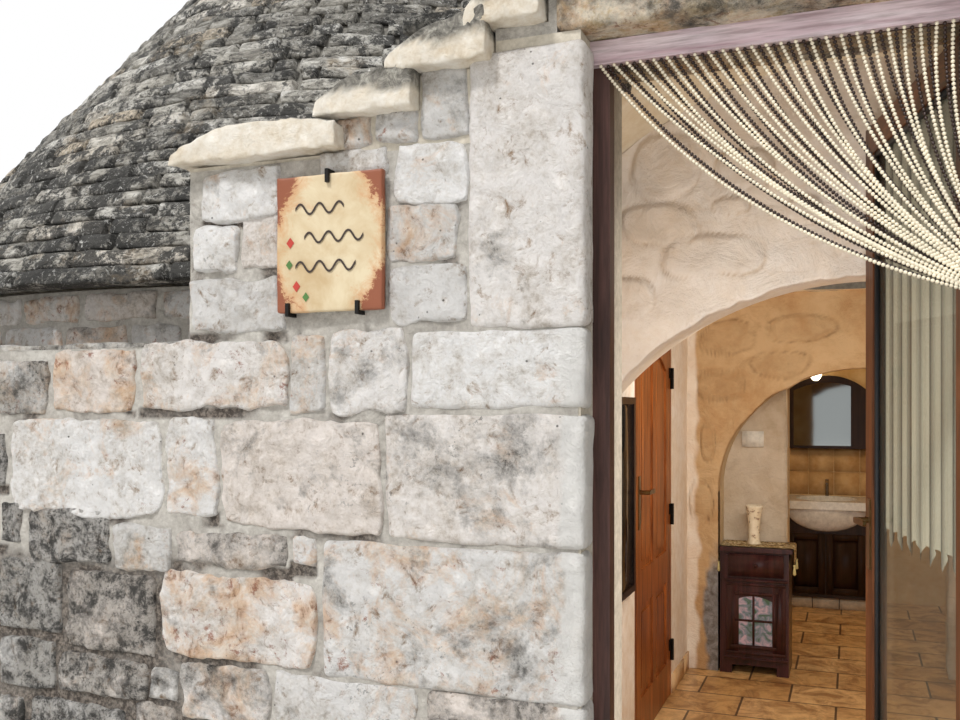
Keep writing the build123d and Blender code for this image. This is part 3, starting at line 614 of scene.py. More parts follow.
def facadeStones():
    made = Masonry()
    plaqueLow, plaqueHigh = (corner[[0, 2]] for corner in nodeBox("plaque"))
    (openX, openZ), spare = facade["darkJoint"], facade["plaqueSpare"]
    for number, (left, right, top, bottom, stain, lichen) in enumerate(facade["stones"].values()):
        box = stoneBox(left, right, top, bottom)
        if lichen > facade["darkFrom"]:
            box = (box[0] + openX, box[1] - openX, box[2] + openZ, box[3] - openZ)
        points, quads = stoneFace(box, facade["bulge"], facade["cell"], 40 + number)
        behind = (points[:, :2] > plaqueLow - spare) & (points[:, :2] < plaqueHigh + spare)
        behind = behind.all(axis=1)
        points[behind, 2] = np.minimum(points[behind, 2], facade["behindPlaque"])
        made.add((onFront(points), quads), stain, lichen)
    for side in (-1, 1):
        for number, (left, top, bottom, stain, lichen) in enumerate(facade["jambStones"].values()):
            box = stoneBox(left, facade["jambRight"], top, bottom)
            start, end = box[0], facade["overFrame"] - house["doorHalf"]
            if side == 1:
                reach = (end - start) * facade["rightShare"]
                start, end = house["doorHalf"] - facade["overFrame"], house["doorHalf"] + reach
            points, quads = jambStone(start, end, box[2], box[3], 90 + number + 10 * side)
            inner = house["doorHalf"] + facade["whitewash"] + 0.010 * roughNoise(points, 0.09, 97)
            wash = shareOf((inner - np.abs(points[:, 0])) / 0.006) * (number > 0)
            made.add((points, quads), stain, lichen, wash)
    return made


def levelPairs(low, high, last=None):
    levels = [level for level in rows["levels"] if low - 0.01 <= level <= high + 0.01]
    if last is not None and last - levels[-1] > 0.05:
        levels.append(last)
    return list(zip(levels[:-1], levels[1:]))


def lichenAt(height):      # more of it low down
    return float(np.clip(0.66 - height * 0.34, 0.05, 0.62))


def darkPatch(x, height):      # the black lichen low on the left, fading out beyond the photo's edge
    return 0.65 * math.exp(-((x + 2.05) / 0.75) ** 2) * (height < 1.0)


def wallStones(made, start, heading, length, low, high, ends=(0, 0), top=None):
    for number, (z0, z1) in enumerate(levelPairs(low, high, high)):
        insets = [rows["corner"][(number + end) % 2] if end else 0.006 for end in ends]
        for a, b in made.row(insets[0], length - insets[1]):
            ceiling = z1 if top is None else min(z1, top((a + b) / 2))
            if ceiling - z0 < 0.06:
                continue
            made.lay((a, b, z0 + rows["bed"], ceiling - rows["bed"]),
                     lambda points: onWall(points, start, heading), (0, 0.6), (0.3, 1.2),
                     darkening=lichenAt(z0), bulge=0.020, cell=0.034, rough=0.006)


def cornerStones(made, corner, inward, high, even):      # alternate long and short blocks
    short, long = rows["corner"]
    for number, (z0, z1) in enumerate(levelPairs(0, high)):
        sizes = (long, short) if (number + even) % 2 else (short, long)
        spans = []
        for place, way, size in zip(corner, inward, sizes):
            spans.append(sorted((place - way * rows["proud"], place + way * (size - 0.018))))
        (x0, x1), (y0, y1) = spans
        stone = roughBlock((x0, y0, z0 + rows["bed"]), (x1, y1, z1 - rows["bed"]), 0.040,
                           nextSeed(made.rng), rounding=0.028, uneven=0.008, size=0.16)
        made.add(stone, made.rng.uniform(0, 0.5), lichenAt(z0) * made.rng.uniform(0.3, 1.2))


# Slabs on the gable's steps, from the outside up: the length of each step, and how far each slab lies off
coping = {
    "base": 2.200, "rise": 0.090, "runs": [0.510, 0.218, 0.210, 0.140, 0.132, 0.120, 0.110],
    "slips": [0.004, -0.004, 0.005, 0.0, 0.004, -0.003, 0.002],
    "crest": 0.10,
    "spots": [0.0, 0.05, 0.30, 0.70, 1.0],       # along a slab, and its height there
    "lowOutline": [0.010, 0.034, 0.084, 0.084, 0.066], "outline": [0.008, 0.040, 0.086, 0.118, 0.128],
    "lap": 0.075, "front": 0.060, "side": 0.035, "back": 0.450, "backLift": 0.022,
}


def gableTop(x):      # underside of the stepped slabs
    level, run = coping["base"], -house["gable"]
    for step in coping["runs"]:
        run += step
        if -abs(x) < run:
            return level
        level += coping["rise"]
    return level


# The parts of the front that the photo cuts off
beyond = {
    "leftColumn": -8,                 # of the photo, where its stones end
    "foot": (200, 742),               # column and row of the photo, where its lowest stones end
    "cornerStone": 0.30, "jambGap": 0.016, "bed": 0.006,
    "tall": 0.4,                      # two rows stand beside a jamb stone that is taller than this
    "least": 0.07,
    "stepSpans": ((0.56, 0.80), (0.82, 0.98)),       # beside the lintel, from the middle of the doorway
    "stepFeet": {-1: (2.49, 2.40), 1: (2.33, 2.33)},
    "lintelRows": ((house["lintelTop"] + 0.012, 2.715), (2.727, 2.825)),
    "lintelHalf": 0.54, "lintelLengths": (0.16, 0.34),
}


def frontStones(made, levels, start, end, stain, lichen, patchy=False):
    for z0, z1 in zip(levels[:-1], levels[1:]):
        for a, b in made.row(start, end):
            extra = darkPatch((a + b) / 2, z0) if patchy else 0.0
            made.lay((a, b, z0 + rows["bed"], z1 - rows["bed"]), onFront, stain, lichen,
                     darkening=lichenAt(z0), extra=extra)


def frontRest():
    made = Masonry(11)
    leftEdge, photoFoot = acrossAt(beyond["leftColumn"]), heightAt(*beyond["foot"])
    gableInner = house["gable"] - rows["corner"][0]
    frontStones(made, rows["levels"][:9], house["left"] + beyond["cornerStone"], leftEdge,
                (0, 0.7), (0.5, 1.4), patchy=True)
    frontStones(made, rows["lowFront"] + (photoFoot,), leftEdge, -house["doorHalf"],
                (0, 0.6), (0.5, 1.4), patchy=True)
    jambs = [stoneBox(left, facade["jambRight"], top, bottom)
             for left, top, bottom, _, _ in facade["jambStones"].values()]
    for left, _, low, high in sorted(jambs, key=lambda jamb: jamb[2]):
        start = house["doorHalf"] + (-house["doorHalf"] - left) * facade["rightShare"] + beyond["jambGap"]
        rise = 2 if high - low > beyond["tall"] else 1
        for half in range(rise):
            z0 = low + (high - low) * half / rise
            z1 = low + (high - low) * (half + 1) / rise
            for a, b in made.row(start, gableInner):
                ceiling = min(z1, gableTop((a + b) / 2) - 0.01)
                if ceiling - z0 >= beyond["least"]:
                    made.lay((a, b, z0 + beyond["bed"], ceiling - beyond["bed"]), onFront, (0, 0.5), (0, 0.5))
    lowest = min(jamb[2] for jamb in jambs)
    frontStones(made, rows["lowFront"] + (lowest,), house["doorHalf"] + 0.005, gableInner,
                (0, 0.5), (0.4, 1.2))
    for side in (-1, 1):       # under the steps of the gable, beside and over the lintel
        for number, (a, b) in enumerate(beyond["stepSpans"]):
            a, b = sorted((side * a, side * b))
            z0, z1 = beyond["stepFeet"][side][number], gableTop((a + b) / 2) - 0.008
            if z1 - z0 > 0.05:
                points, quads = stoneFace((a, b, z0, z1), 0.014, 0.016, 700 + number + 5 * side)
                made.add((onFront(points), quads), 0.4, 0.2)
    for z0, z1 in beyond["lintelRows"]:
        for a, b in made.row(-beyond["lintelHalf"], beyond["lintelHalf"], beyond["lintelLengths"]):
            ceiling = min(z1, gableTop(max(abs(a), abs(b))) - 0.008)
            if ceiling - z0 > 0.045:
                made.lay((a, b, z0, ceiling), onFront, (0.2, 0.7), 0.2, bulge=0.014, cell=0.018)
    return made


def otherWalls():
    made = Masonry(23)
    left, back, lowTop, lowRight = house["left"], house["back"], house["lowTop"], house["lowRight"]
    gable, wingEnd, wingTop = house["gable"], house["wingEnd"], house["wingTop"]
    toBack, toFront, toLeft = math.pi / 2, -math.pi / 2, math.pi
    wallStones(made, (left, back), toFront, back, 0, lowTop, (1, 2))
    wallStones(made, (lowRight, back), toLeft, lowRight - left, 0, lowTop, (1, 2))
    wallStones(made, (lowRight, wingEnd), toBack, back - wingEnd, 0, lowTop, (0, 2))
    wallStones(made, (gable, 0), toBack, wingEnd, 0, wingTop, (1, 2))
    wallStones(made, (gable, wingEnd), toLeft, gable - lowRight, 0, lowTop, (1, 0))
    wallStones(made, (gable, wingEnd), toLeft, gable - house["wingLeft"], lowTop, 2.80, (1, 0),
               top=lambda along: house["ridge"] - abs(gable - along) * house["fall"] - 0.03)
    deep, foot = house["gableDepth"], house["gableFoot"]
    wallStones(made, (-gable, deep), toFront, deep, lowTop, foot)
    wallStones(made, (gable, 0), toBack, deep, wingTop, foot)
    cornerStones(made, (left, 0), (1, 1), lowTop, 0)
    cornerStones(made, (left, back), (1, -1), lowTop, 1)
    cornerStones(made, (lowRight, back), (-1, -1), lowTop, 0)
    cornerStones(made, (gable, 0), (-1, 1), wingTop, 1)
    cornerStones(made, (gable, wingEnd), (-1, -1), wingTop, 0)
    return made


facadeStones().build("front_stones", limestoneFinish)
frontRest().build("front_stones_beyond", limestoneFinish)
otherWalls().build("side_and_back_stones", wallStoneFinish)
print("walls laid")


# Lintel, stepped slabs and the stone at the top of the gable
def gableSlab(step, start, end):      # on the left side
    level = coping["base"] + step * coping["rise"]
    points, quads = roughBlock((start + 0.003, -coping["front"] - 0.004, level),
                               (end - 0.004, coping["back"], level + coping["crest"]), 0.013,
                               320 + step, rounding=0.007)
    share = shareOf((points[:, 0] - start) / (end - start))
    top = np.interp(share, coping["spots"], coping["lowOutline"] if step == 0 else coping["outline"])
    part = (points[:, 2] - level) / coping["crest"]
    points[:, 2] = level + part * top + coping["slips"][step]
    over = shareOf((points[:, 1] + coping["front"]) / 0.10)
    points[:, 2] += over * part * coping["backLift"] * (step > 0)
    points = points + 0.006 * jitter(points + step * 1.7, 0.10, 320 + step)
    points = points + 0.004 * jitter(points, 0.030, 340 + step)
    edge = (0.92 if step == 0 else 0.50) + 0.10 * roughNoise(points, 0.06, 347 + step, 3)
    return points, quads, shareOf((part * top / coping["crest"] - edge) / 0.12)


def gableSlabs():
    lintelLow, lintelHigh = nodeBox("door_lintel")
    lintel = roughBlock(lintelLow + [0, -0.014, 0.001], lintelHigh + [0, -0.004, -0.006], 0.022, 301,
                        rounding=0.018, uneven=0.006)
    lintelFinish = limestone("lintelFinish", "f3e7d2", "dcc59c", "b08f5a")
    piece = addPiece("lintel_stone", [lintel], lintelFinish,
                     marks={"stain": [0.9], "lichen": [0.5]})
    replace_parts(piece, "door_lintel")
    for side, name in ((-1, "left"), (1, "right")):
        made, weather, x = [], [], -house["gable"]
        for step, run in enumerate(coping["runs"]):
            start = x - (coping["side"] if step == 0 else coping["lap"])
            x += run
            points, quads, worn = gableSlab(step, start, x)
            made.append(mirrored(points, quads, side))
            weather.append(worn)
        piece = addPiece("gable_slabs_" + name, made, slabFinish,
                         marks={"weather": weather})
        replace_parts(piece, "coping_" + name)
    low, high = nodeBox("coping_apex")
    points, quads = roughBlock(low + [0, -0.004, 0], high, 0.022, 371, rounding=0.014)
    points[:, 2] = low[2] + (points[:, 2] - low[2]) * (1 - 0.5 * np.abs(points[:, 0]) / high[0])
    points = points + 0.009 * jitter(points, 0.12, 372)
    piece = addPiece("gable_top_stone", [(points, quads)], slabFinish,
                     marks={"weather": [0.6]})
    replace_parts(piece, "coping_apex")


def slabStone():      # clean cream below and on fresh faces, grey with lichen on the weather side
    f = Finish("slabFinish", 0.92)
    clean = f.ramp(f.mix(0.4, f.noise(6, 6, 0.65, 0.5), f.noise(40, 5, 0.7)), (0.34, "c9b79c"),
                   (0.46, "dfd3c0"), (0.60, "eee7db"))
    grey = f.ramp(f.noise(30, 9, 0.76, 0.8), (0.40, "3f3d38"), (0.52, "7c7870"), (0.62, "aaa69b"),
                  (0.74, "dedbd2"))
    top = f.ramp(f.plus(f.facing(2), f.times(f.noise(20, 8, 0.75, 0.8), 0.9)), (0.95, 0.0), (1.15, 0.85))
    share = f.larger(f.times(f.mark("weather"), 0.95), top)
    f.colour(f.mix(share, clean, grey))
    f.relief(f.noise(26, 10, 0.75, 0.5), 1.0, 0.014)
    f.relief(f.noise(150, 5, 0.7), 0.5, 0.002)
    return f.material


slabFinish = slabStone()
gableSlabs()

# Cones: courses of split slabs, each course a little behind the one below
cones = {
    "large": {"centre": (-2.510, 3.300), "radius": 2.900, "foot": 1.950, "cut": 0.260, "course": 0.066,
              "lengths": (0.17, 0.55), "drum": 2.750, "drumFoot": 1.690},
    "small": {"centre": (0.190, 2.110), "radius": 1.430, "foot": 2.330, "cut": 0.190, "course": 0.062,
              "lengths": (0.14, 0.40), "drum": 1.360, "drumFoot": 2.100},
    "slope": 1.20,
    "proud": 0.022,
    "joint": 0.005,
    "bend": 0.8,
    "rise": (1.0, 1.0, 0.99, 0.93, 0.70, 0.42, 0.18, 0.05, 0.0, 0.0),       # a slab's section, from its top
    "inset": (2.2, 1.15, 0.80, 0.58, 0.34, 0.16, 0.03, 0.04, 0.20, 2.2),    # at the back to its foot
    "cells": (0.026, 0.055),      # mesh of the slabs that face the camera and of the others
    "lowShare": 0.36,         # courses in the lower of the two pieces
}


def insideWing(x, y, z, spare):
    leftSide = -house["gable"] if y < 1.55 else house["wingLeft"]
    if not (leftSide + spare < x < house["roofRight"] and 0 < y < house["wingEnd"]):
        return False
    return z < house["ridge"] - abs(x) * house["fall"] - spare


def insideCone(cone, x, y, z, spare):
    reach = math.hypot(x - cone["centre"][0], y - cone["centre"][1])
    if z < cone["foot"]:
        return reach < cone["drum"] - spare and z > cone["drumFoot"]
    return reach < cone["radius"] - (z - cone["foot"]) / cones["slope"] - spare


def slab(centre, start, turn, radius, low, height, cell, seed):
    arc = turn * radius
    columns = max(4, int(round(arc / cell)))
    inset = height / cones["slope"]       # from this course's face to the next one's
    s, up = np.meshgrid(stepsTo(columns, cones["bend"]), height * np.array(cones["rise"]), indexing="ij")
    near = (1 - np.abs(s)) * arc / 2
    depth = inset * np.array(cones["inset"]) + inset * 1.6 * (1 - shareOf(near / 0.012)) ** 2.5
    rng = np.random.default_rng(seed)
    lean = rng.uniform(-0.004, 0.009) + rng.uniform(-0.006, 0.006) * s
    x, y = ringPoint(centre, radius - depth + lean, start + (s + 1) / 2 * turn)
    droop = rng.uniform(-0.003, 0.003) * s
    points = np.stack([x, y, low + up + droop], axis=-1)
    uneven = 0.0065 * shareOf(1 - depth / inset / 2)[..., None]
    points = points + uneven * jitter(points + seed * 0.013, 0.07, seed % 9973)
    points[..., 2] += 0.005 * roughNoise(points, 0.22, 5)
    return points.reshape(-1, 3), gridQuads(columns, len(cones["rise"]) - 1)


def coneCourses(name, cone, other, fineFrom, fineTo, replaced):       # fine between two angles
    rng = np.random.default_rng(int(cone["radius"] * 1000))
    lower, upper = [], []
    count = int((cone["radius"] - cone["cut"]) * cones["slope"] / cone["course"])
    low = cone["foot"]
    for course in range(count):
        height = cone["course"] * rng.uniform(0.92, 1.08)
        radius = cone["radius"] - (low - cone["foot"]) / cones["slope"] + cones["proud"]
        if course == 0:
            radius += 0.01
        turn = rng.uniform(0, 0.3)
        end = turn + 2 * math.pi
        while turn < end - 0.02:
            length = rng.uniform(*cone["lengths"]) * (0.65 + 0.35 * radius / cone["radius"])
            arc = min(length / radius, end - turn)
            middle = turn + arc / 2
            x, y = ringPoint(cone["centre"], radius, middle)
            if not (insideWing(x, y, low, 0.05) or insideCone(other, x, y, low, 0.05)):
                facing = (math.degrees(middle) + 180) % 360 - 180
                cell = cones["cells"][0 if fineFrom < facing < fineTo else 1]
                made = slab(cone["centre"], turn, arc - cones["joint"] / radius, radius, low,
                            height * 0.95, cell, nextSeed(rng))
                (lower if course < count * cones["lowShare"] else upper).append(made)
            turn += arc
        low += height
    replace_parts(addPiece(name + "_cone_courses_low", lower, roofStoneFinish), replaced)
    addPiece(name + "_cone_courses_high", upper, roofStoneFinish)


roofStoneFinish = roofFinish()
coneCourses("large", cones["large"], cones["small"], -65, 40, "large_eaves")
coneCourses("small", cones["small"], cones["large"], -30, 30, "small_eaves")
print("cones laid")


drumRows = {
    "large": ((1.690, 1.825, (0.16, 0.38)), (1.825, 1.945, (0.16, 0.42))),       # foot, top, lengths
    "small": (2.110, 2.320, (0.18, 0.36)),
    "bed": 0.007,
    "fine": (-1.0, 0.7),       # angles from the front between which the mesh is fine
    "cells": (0.016, 0.035),
}


def drumStones():
    made = Masonry(31)
    centre, radius = cones["large"]["centre"], cones["large"]["drum"]
    for z0, z1, lengths in drumRows["large"]:
        for a, b in made.row(-math.pi * radius, math.pi * radius, lengths):
            turn = (a + b) / 2 / radius
            x, y = ringPoint(centre, radius, turn)
            if insideWing(x, y, z0, 0.05) or insideCone(cones["small"], x, y, z0, 0.05):
                continue
            fine = drumRows["fine"][0] < turn < drumRows["fine"][1]
            # the stains are drawn high on the drum: partly real stains, partly painted shade on the drum
            made.lay((a, b, z0 + drumRows["bed"], z1 - drumRows["bed"]),
                     lambda points: onDrum(points, centre, radius), (0.2, 1.0), (0, 0.25),
                     bulge=0.014, cell=drumRows["cells"][0 if fine else 1])
    centre, radius = cones["small"]["centre"], cones["small"]["drum"]
    low, high, lengths = drumRows["small"]
    for a, b in made.row(0, math.pi * radius, lengths):
        points, quads = stoneFace((a, b, low, high), 0.014, drumRows["cells"][1], nextSeed(made.rng))
        x, y = ringPoint(centre, radius, (a + b) / 2 / radius)
        if not insideWing(x, y, 2.3, 0.0):
            made.add((onDrum(points, centre, radius), quads), 0.3, 0.3)
    return made


drumStones().build("drum_stones", limestoneFinish)


# Pitched roof of the wing: rows of split slabs on both sides, and a raised edge behind the gable
wingRoof = {
    "exposed": 0.155, "length": (0.22, 0.50), "thick": 0.042, "lap": 0.075, "joint": 0.007,
    "cell": 0.055, "ridgeEnd": 0.08, "spare": 0.04, "lift": 0.030, "sunk": 0.010,
    "edge": {"foot": (-1.37, 2.355), "slope": 0.63, "front": 0.10, "back": 0.62, "rise": 0.058,
             "levels": 5, "stones": 3, "length": (0.14, 0.24), "first": 2.300, "joint": 0.006},
}


def roofSlab(x0, x1, y0, y1, seed):
    low, high = (min(x0, x1), y0, 0.0), (max(x0, x1), y1, wingRoof["thick"])
    points, quads = roughBlock(low, high, wingRoof["cell"], seed, rounding=0.010, uneven=0.009, size=0.10)
    share = shareOf((points[:, 0] - x1) / (x0 - x1))
    roof = house["ridge"] - np.abs(points[:, 0]) * house["fall"]
    points[:, 2] += roof + wingRoof["lift"] * share - wingRoof["sunk"]
    return points, quads


def wingSlabs():
    made, rng = [], np.random.default_rng(47)
    for side in (-1, 1):
        outer = house["roofRight"] - 0.01 if side == 1 else house["gable"]
        while outer > wingRoof["ridgeEnd"]:
            y = house["gableDepth"] + 0.004
            while y < house["wingEnd"] - 0.05:
                far = min(y + rng.uniform(*wingRoof["length"]), house["wingEnd"] - 0.004)
                x, middle = side * outer, (y + far) / 2
                z = house["ridge"] - outer * house["fall"] + 0.04
                left = -house["gable"] if middle < 1.5 else house["wingLeft"] - 0.02
                hidden = any(insideCone(cones[name], x * 0.97, middle, z, wingRoof["spare"])
                             for name in ("large", "small"))
                if not hidden and x > left - 0.01:
                    inner = side * max(outer - wingRoof["exposed"] - wingRoof["lap"], -0.03)
                    made.append(roofSlab(x, inner, y, far - wingRoof["joint"], nextSeed(rng)))
                y = far
            outer -= wingRoof["exposed"] * rng.uniform(0.92, 1.08)
    edge = wingRoof["edge"]
    for side in (-1, 1):
        for level in range(edge["levels"]):
            z = edge["first"] + level * edge["rise"]
            x = edge["foot"][0] + (z + edge["rise"] - edge["foot"][1]) / edge["slope"]
            for _ in range(edge["stones"]):
                start = x + rng.uniform(-0.02, 0.02)
                x += rng.uniform(*edge["length"])
                front = edge["front"] + rng.uniform(-0.02, 0.04)
                end = (x - edge["joint"], edge["back"], z + edge["rise"] - edge["joint"])
                points, quads = roughBlock((start, front, z), end, 0.03, nextSeed(rng),
                                           rounding=0.012, uneven=0.008, size=0.09)
                made.append(mirrored(points, quads, side))
    return made


addPiece("wing_roof_slabs", wingSlabs(), roofStoneFinish)


# Slabs of the ledge round the drum
ledge = {
    "lengths": (0.28, 0.60), "depths": (0.26, 0.40), "joint": 0.004,
    "right": house["lowRight"] - 0.010,
    "heights": (0.020, 0.016),       # of the outer slabs and of the others, over the wall
    "bedded": 0.012, "underDrum": 0.14,
}


def ledgeSlabs():
    made, rng = [], np.random.default_rng(53)
    centre, drum, joint = cones["large"]["centre"], cones["large"]["drum"], ledge["joint"]
    top, back, right = house["lowTop"], house["back"], ledge["right"]
    y = 0.0
    while y < back - 0.02:
        deep = min(rng.uniform(*ledge["depths"]), back - y)
        x = house["left"]
        while x < right:
            far = min(x + rng.uniform(*ledge["lengths"]), right)
            middle = ((x + far) / 2, y + deep / 2)
            reach = math.hypot(middle[0] - centre[0], middle[1] - centre[1])
            outer = y == 0.0 or y + deep > back - 0.01 or x == house["left"] or far > right - 0.01
            covered = reach <= drum - ledge["underDrum"] or insideWing(middle[0] + 0.1, middle[1], 1.7, -0.05)
            if not covered and far - x > 0.05:
                high = top + ledge["heights"][0 if outer else 1]
                made.append(roughBlock((x + joint, y + joint, top - ledge["bedded"]),
                                       (far - joint, y + deep - joint, high), 0.07, nextSeed(rng),
                                       rounding=0.012, uneven=0.008, size=0.13))
            x = far
        y += deep
    addPiece("ledge_slabs", made, wallStoneFinish,
             marks={"stain": [0.3] * len(made), "lichen": [0.55] * len(made)})


ledgeSlabs()


# Pinnacles: a flared foot, a disc and a ball; the small one is drawn to a share of the large one
pinnacle = {
    "flare": 0.115, "cap": 0.300, "disc": 0.050, "plate": (0.176, 0.187), "neck": 0.060, "ball": 0.125,
    "stem": 0.120, "skirt": ((0.030, -0.095), (0.022, -0.050)), "shares": {"large": 1.0, "small": 0.75},
}


def pinnacleProfile(base, share, foot):
    size = {key: pinnacle[key] * share for key in ("flare", "cap", "disc", "neck", "ball", "stem")}
    rim, belly = (radius * share for radius in pinnacle["plate"])
    neck, ball, cap = size["neck"], size["ball"], base + size["cap"]
    disc, top = cap + size["disc"], cap + size["stem"]
    points = [(foot + out, base + up * share) for out, up in pinnacle["skirt"]]
    for part in np.linspace(0, 1, 8):
        radius = foot + (size["flare"] - foot) * (1 - (1 - part) ** 1.35)
        points.append((radius, base + (cap - base) * part))
    points += [(rim, cap + 0.004), (belly, (cap + disc) / 2), (rim, disc),
               (neck + 0.012, disc + 0.006 * share), (neck, disc + 0.02 * share), (neck, top - 0.004)]
    first = math.asin(neck / ball)
    centre = top + ball * math.cos(first)
    for angle in np.linspace(first, math.pi - 0.02, 13):
        points.append((ball * math.sin(angle), centre - ball * math.cos(angle)))
    return points


def pinnacles():
    f = Finish("limewash", 0.9)
    base = f.ramp(f.noise(6, 7, 0.7, 0.5), (0.35, "b9b5aa"), (0.6, "f1efe9"))
    f.colour(f.mix(f.ramp(f.noise(22, 8, 0.75), (0.58, 0.0), (0.68, 0.6)), base, "5d5a52"))
    f.relief(f.noise(30, 7, 0.7), 0.6, 0.004)
    for name, share in pinnacle["shares"].items():
        cone = cones[name]
        base = cone["foot"] + (cone["radius"] - cone["cut"]) * cones["slope"]
        points, quads = turnedShell(pinnacleProfile(base, share, cone["cut"]), cone["centre"], 48)
        piece = addPiece(name + "_pinnacle_plaster", [(points + 0.003 * jitter(points, 0.09, 71), quads)],
                         f.material)
        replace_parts(piece, name + "_pinnacle")


pinnacles()
print("roofs laid")


# Mortar smeared round the stones of the front, with dirt low on the left and painted shade under the stones
mortarLook = {
    "cell": 0.011, "out": 0.0035, "least": 0.0006,
    "left": -2.950, "foot": 0.400, "doorJoint": 0.006,
    "dirtRight": -1.38, "dirtTop": 1.12, "dirtLeft": -2.92, "dirtFade": (0.15, 0.12, 0.45),
    "under": (0.024, 0.014),       # painted shade below and above a stone's lower edge
}


def mortarSkin(left, right, low, high):
    look = mortarLook
    columns, rowCount = int((right - left) / look["cell"]), int((high - low) / look["cell"])
    x, z = np.linspace(left, right, columns + 1), np.linspace(low, high, rowCount + 1)
    x, z = np.meshgrid(x, z, indexing="ij")
    flat = np.stack([x, z, x * 0], axis=-1)
    fade = look["dirtFade"]
    dirtAndShade = shareOf((look["dirtRight"] - x + 0.25 * roughNoise(flat, 0.4, 65, 2)) / fade[0])
    dirtAndShade = dirtAndShade * shareOf((look["dirtTop"] - z) / fade[1])
    dirtAndShade = dirtAndShade * shareOf((x - look["dirtLeft"]) / fade[2])
    # painted shade under each stone's lower edge, uneven in strength
    shadeUnderStones = shareOf(0.35 + 2.4 * roughNoise(flat, 0.12, 66, 3))
    below, above = look["under"]
    for edges in facade["stones"].values():
        a, b, c, _ = stoneBox(*edges[:4])
        under = (x > a) & (x < b) & (z > c - below) & (z < c + above)
        dirtAndShade = np.where(under, np.maximum(dirtAndShade, shadeUnderStones), dirtAndShade)
    out = look["out"] + 0.0030 * roughNoise(flat, 0.16, 61, 3) + 0.0022 * roughNoise(flat, 0.04, 62, 2)
    out = np.maximum(out - 0.003 * dirtAndShade, look["least"])
    return (onFront(pointsOf(x, z, out)), gridQuads(columns, rowCount)), dirtAndShade.reshape(-1)


mortar = mortarFinish()
skinRight = -house["doorHalf"] - mortarLook["doorJoint"]
skinTop = house["lowTop"] - 0.004
skins = [mortarSkin(mortarLook["left"], skinRight, mortarLook["foot"], skinTop),
         mortarSkin(0.002 - house["gable"], skinRight, skinTop, house["gableFoot"])]
addPiece("front_mortar", [skin for skin, _ in skins], mortar,
         marks={"dirtAndShade": [dirtAndShade for _, dirtAndShade in skins]})


# Woods, metals, glass and cloth
def wood(name, light, dark, along="z", gloss=0.45):
    f = Finish(name, gloss)
    scales = {"x": (2.2, 34, 34), "y": (34, 2.2, 34), "z": (34, 34, 2.2)}
    grain = f.stretched(*scales[along])
    base = f.ramp(f.noise(1.0, 7, 0.62, 0.7, grain), (0.32, dark), (0.66, light))
    streak = f.noise(3.4, 5, 0.65, 0.2, grain)
    f.colour(f.mix(0.45, base, f.ramp(streak, (0.36, "75655a"), (0.58, "ffffff")), "MULTIPLY"))
    f.relief(streak, 0.35, 0.0012)
    return f.material


def plain(name, code, roughness, **sockets):
    f = Finish(name, roughness, **sockets)
    cloud = f.ramp(f.noise(30, 6, 0.7), (0.3, "a8a8a8"), (0.65, "ffffff"))
    f.colour(f.mix(0.5, code, cloud, "MULTIPLY"))
    f.relief(f.noise(220, 4), 0.15, 0.0006)
    return f.material


def floorTiles():
    f = Finish("floorTiles", 0.38)
    moved = f.node("Mapping", Vector=f.place, Location=(0.13, 0.05, 0.0)).outputs[0]
    tiles = f.node("TexBrick", {"offset": 0.5}, Vector=moved, Color1="ecc186", Color2="cf9e60",
                   Mortar="6e5640", Scale=1.0, Mortar_Size=0.006, Mortar_Smooth=0.3, Brick_Width=0.42,
                   Row_Height=0.30)
    cloud = f.ramp(f.noise(7, 8, 0.72, 0.7), (0.38, "94775c"), (0.58, "ffffff"))
    f.colour(f.mix(0.75, tiles.outputs[0], cloud, "MULTIPLY"))
    f.relief(tiles.outputs[1], -0.6, 0.004)
    f.relief(f.noise(45, 6, 0.7), 0.25, 0.002)
    return f.material


def facingMix(name, way, front, back):      # one finish on faces that look one way, another elsewhere
    f = Finish(name, 0.92)
    normal = f.times(f.facing(abs(way) - 1), float(np.sign(way)))
    share = f.math("GREATER_THAN", normal, 0.35)
    lime = f.ramp(f.mix(0.3, f.noise(2.6, 6, 0.62, 0.4), f.noise(19, 6, 0.7)),
                  (0.36, front[1]), (0.58, front[0]))
    rough = f.ramp(f.mix(0.5, f.noise(6, 7, 0.7, 0.5), f.noise(45, 5, 0.7)), (0.32, back[1]),
                   (0.62, back[0]))
    f.colour(f.mix(share, rough, lime))
    f.relief(f.noise(9, 8, 0.7, 0.5), 0.7, 0.010)
    return f.material


def glassPane():
    f = Finish("paneGlass", 0.03, Alpha=0.24, IOR=1.5)
    f.colour("4a5650")
    return f.material


def glow(name, code, strength):
    f = Finish(name, 0.4, Emission_Strength=strength)
    f.feed(f.shader.inputs["Emission Color"], code)
    f.colour(code)
    return f.material


leafWood = wood("leafWood", "754628", "3d200f")
leafRailWood = wood("leafRailWood", "7d4c2c", "44230f", along="y")
innerWood = wood("innerWood", "b3662e", "602c10", gloss=0.38)
postWood = wood("postWood", "64423a", "38201b", gloss=0.5)
railPaint = wood("railPaint", "e3d3d8", "bf9ea6", along="x", gloss=0.55)
cabinetWood = wood("cabinetWood", "4c2829", "241011", gloss=0.28)
vanityWood = wood("vanityWood", "33201a", "180c09", gloss=0.35)
brass = plain("brass", "8d7550", 0.28, Metallic=1.0)
iron = plain("iron", "191614", 0.55, Metallic=0.6)
chrome = plain("chrome", "9c968c", 0.15, Metallic=1.0)
ceramic = plain("ceramic", "ece8e2", 0.12)
limePlaster = facingMix("limePlaster", -2, ("f6ead8", "e3cba8"), ("f7efe4", "ead8c0"))
tanPlaster = plasterFinish("tanPlaster", "dcc7a4", "c2a47c", 0.25)
lampShade = glow("lampShade", "fff1cc", 9.0)
mirrorGlass = Finish("mirrorGlass", 0.06, Metallic=1.0)
mirrorGlass.colour("8d9190")
# the wall mirror's glass is painted near black: a painted dark reflection
darkMirrorReflection = plain("darkMirrorReflection", "0f0e0d", 0.08)
print("plain finishes ready")


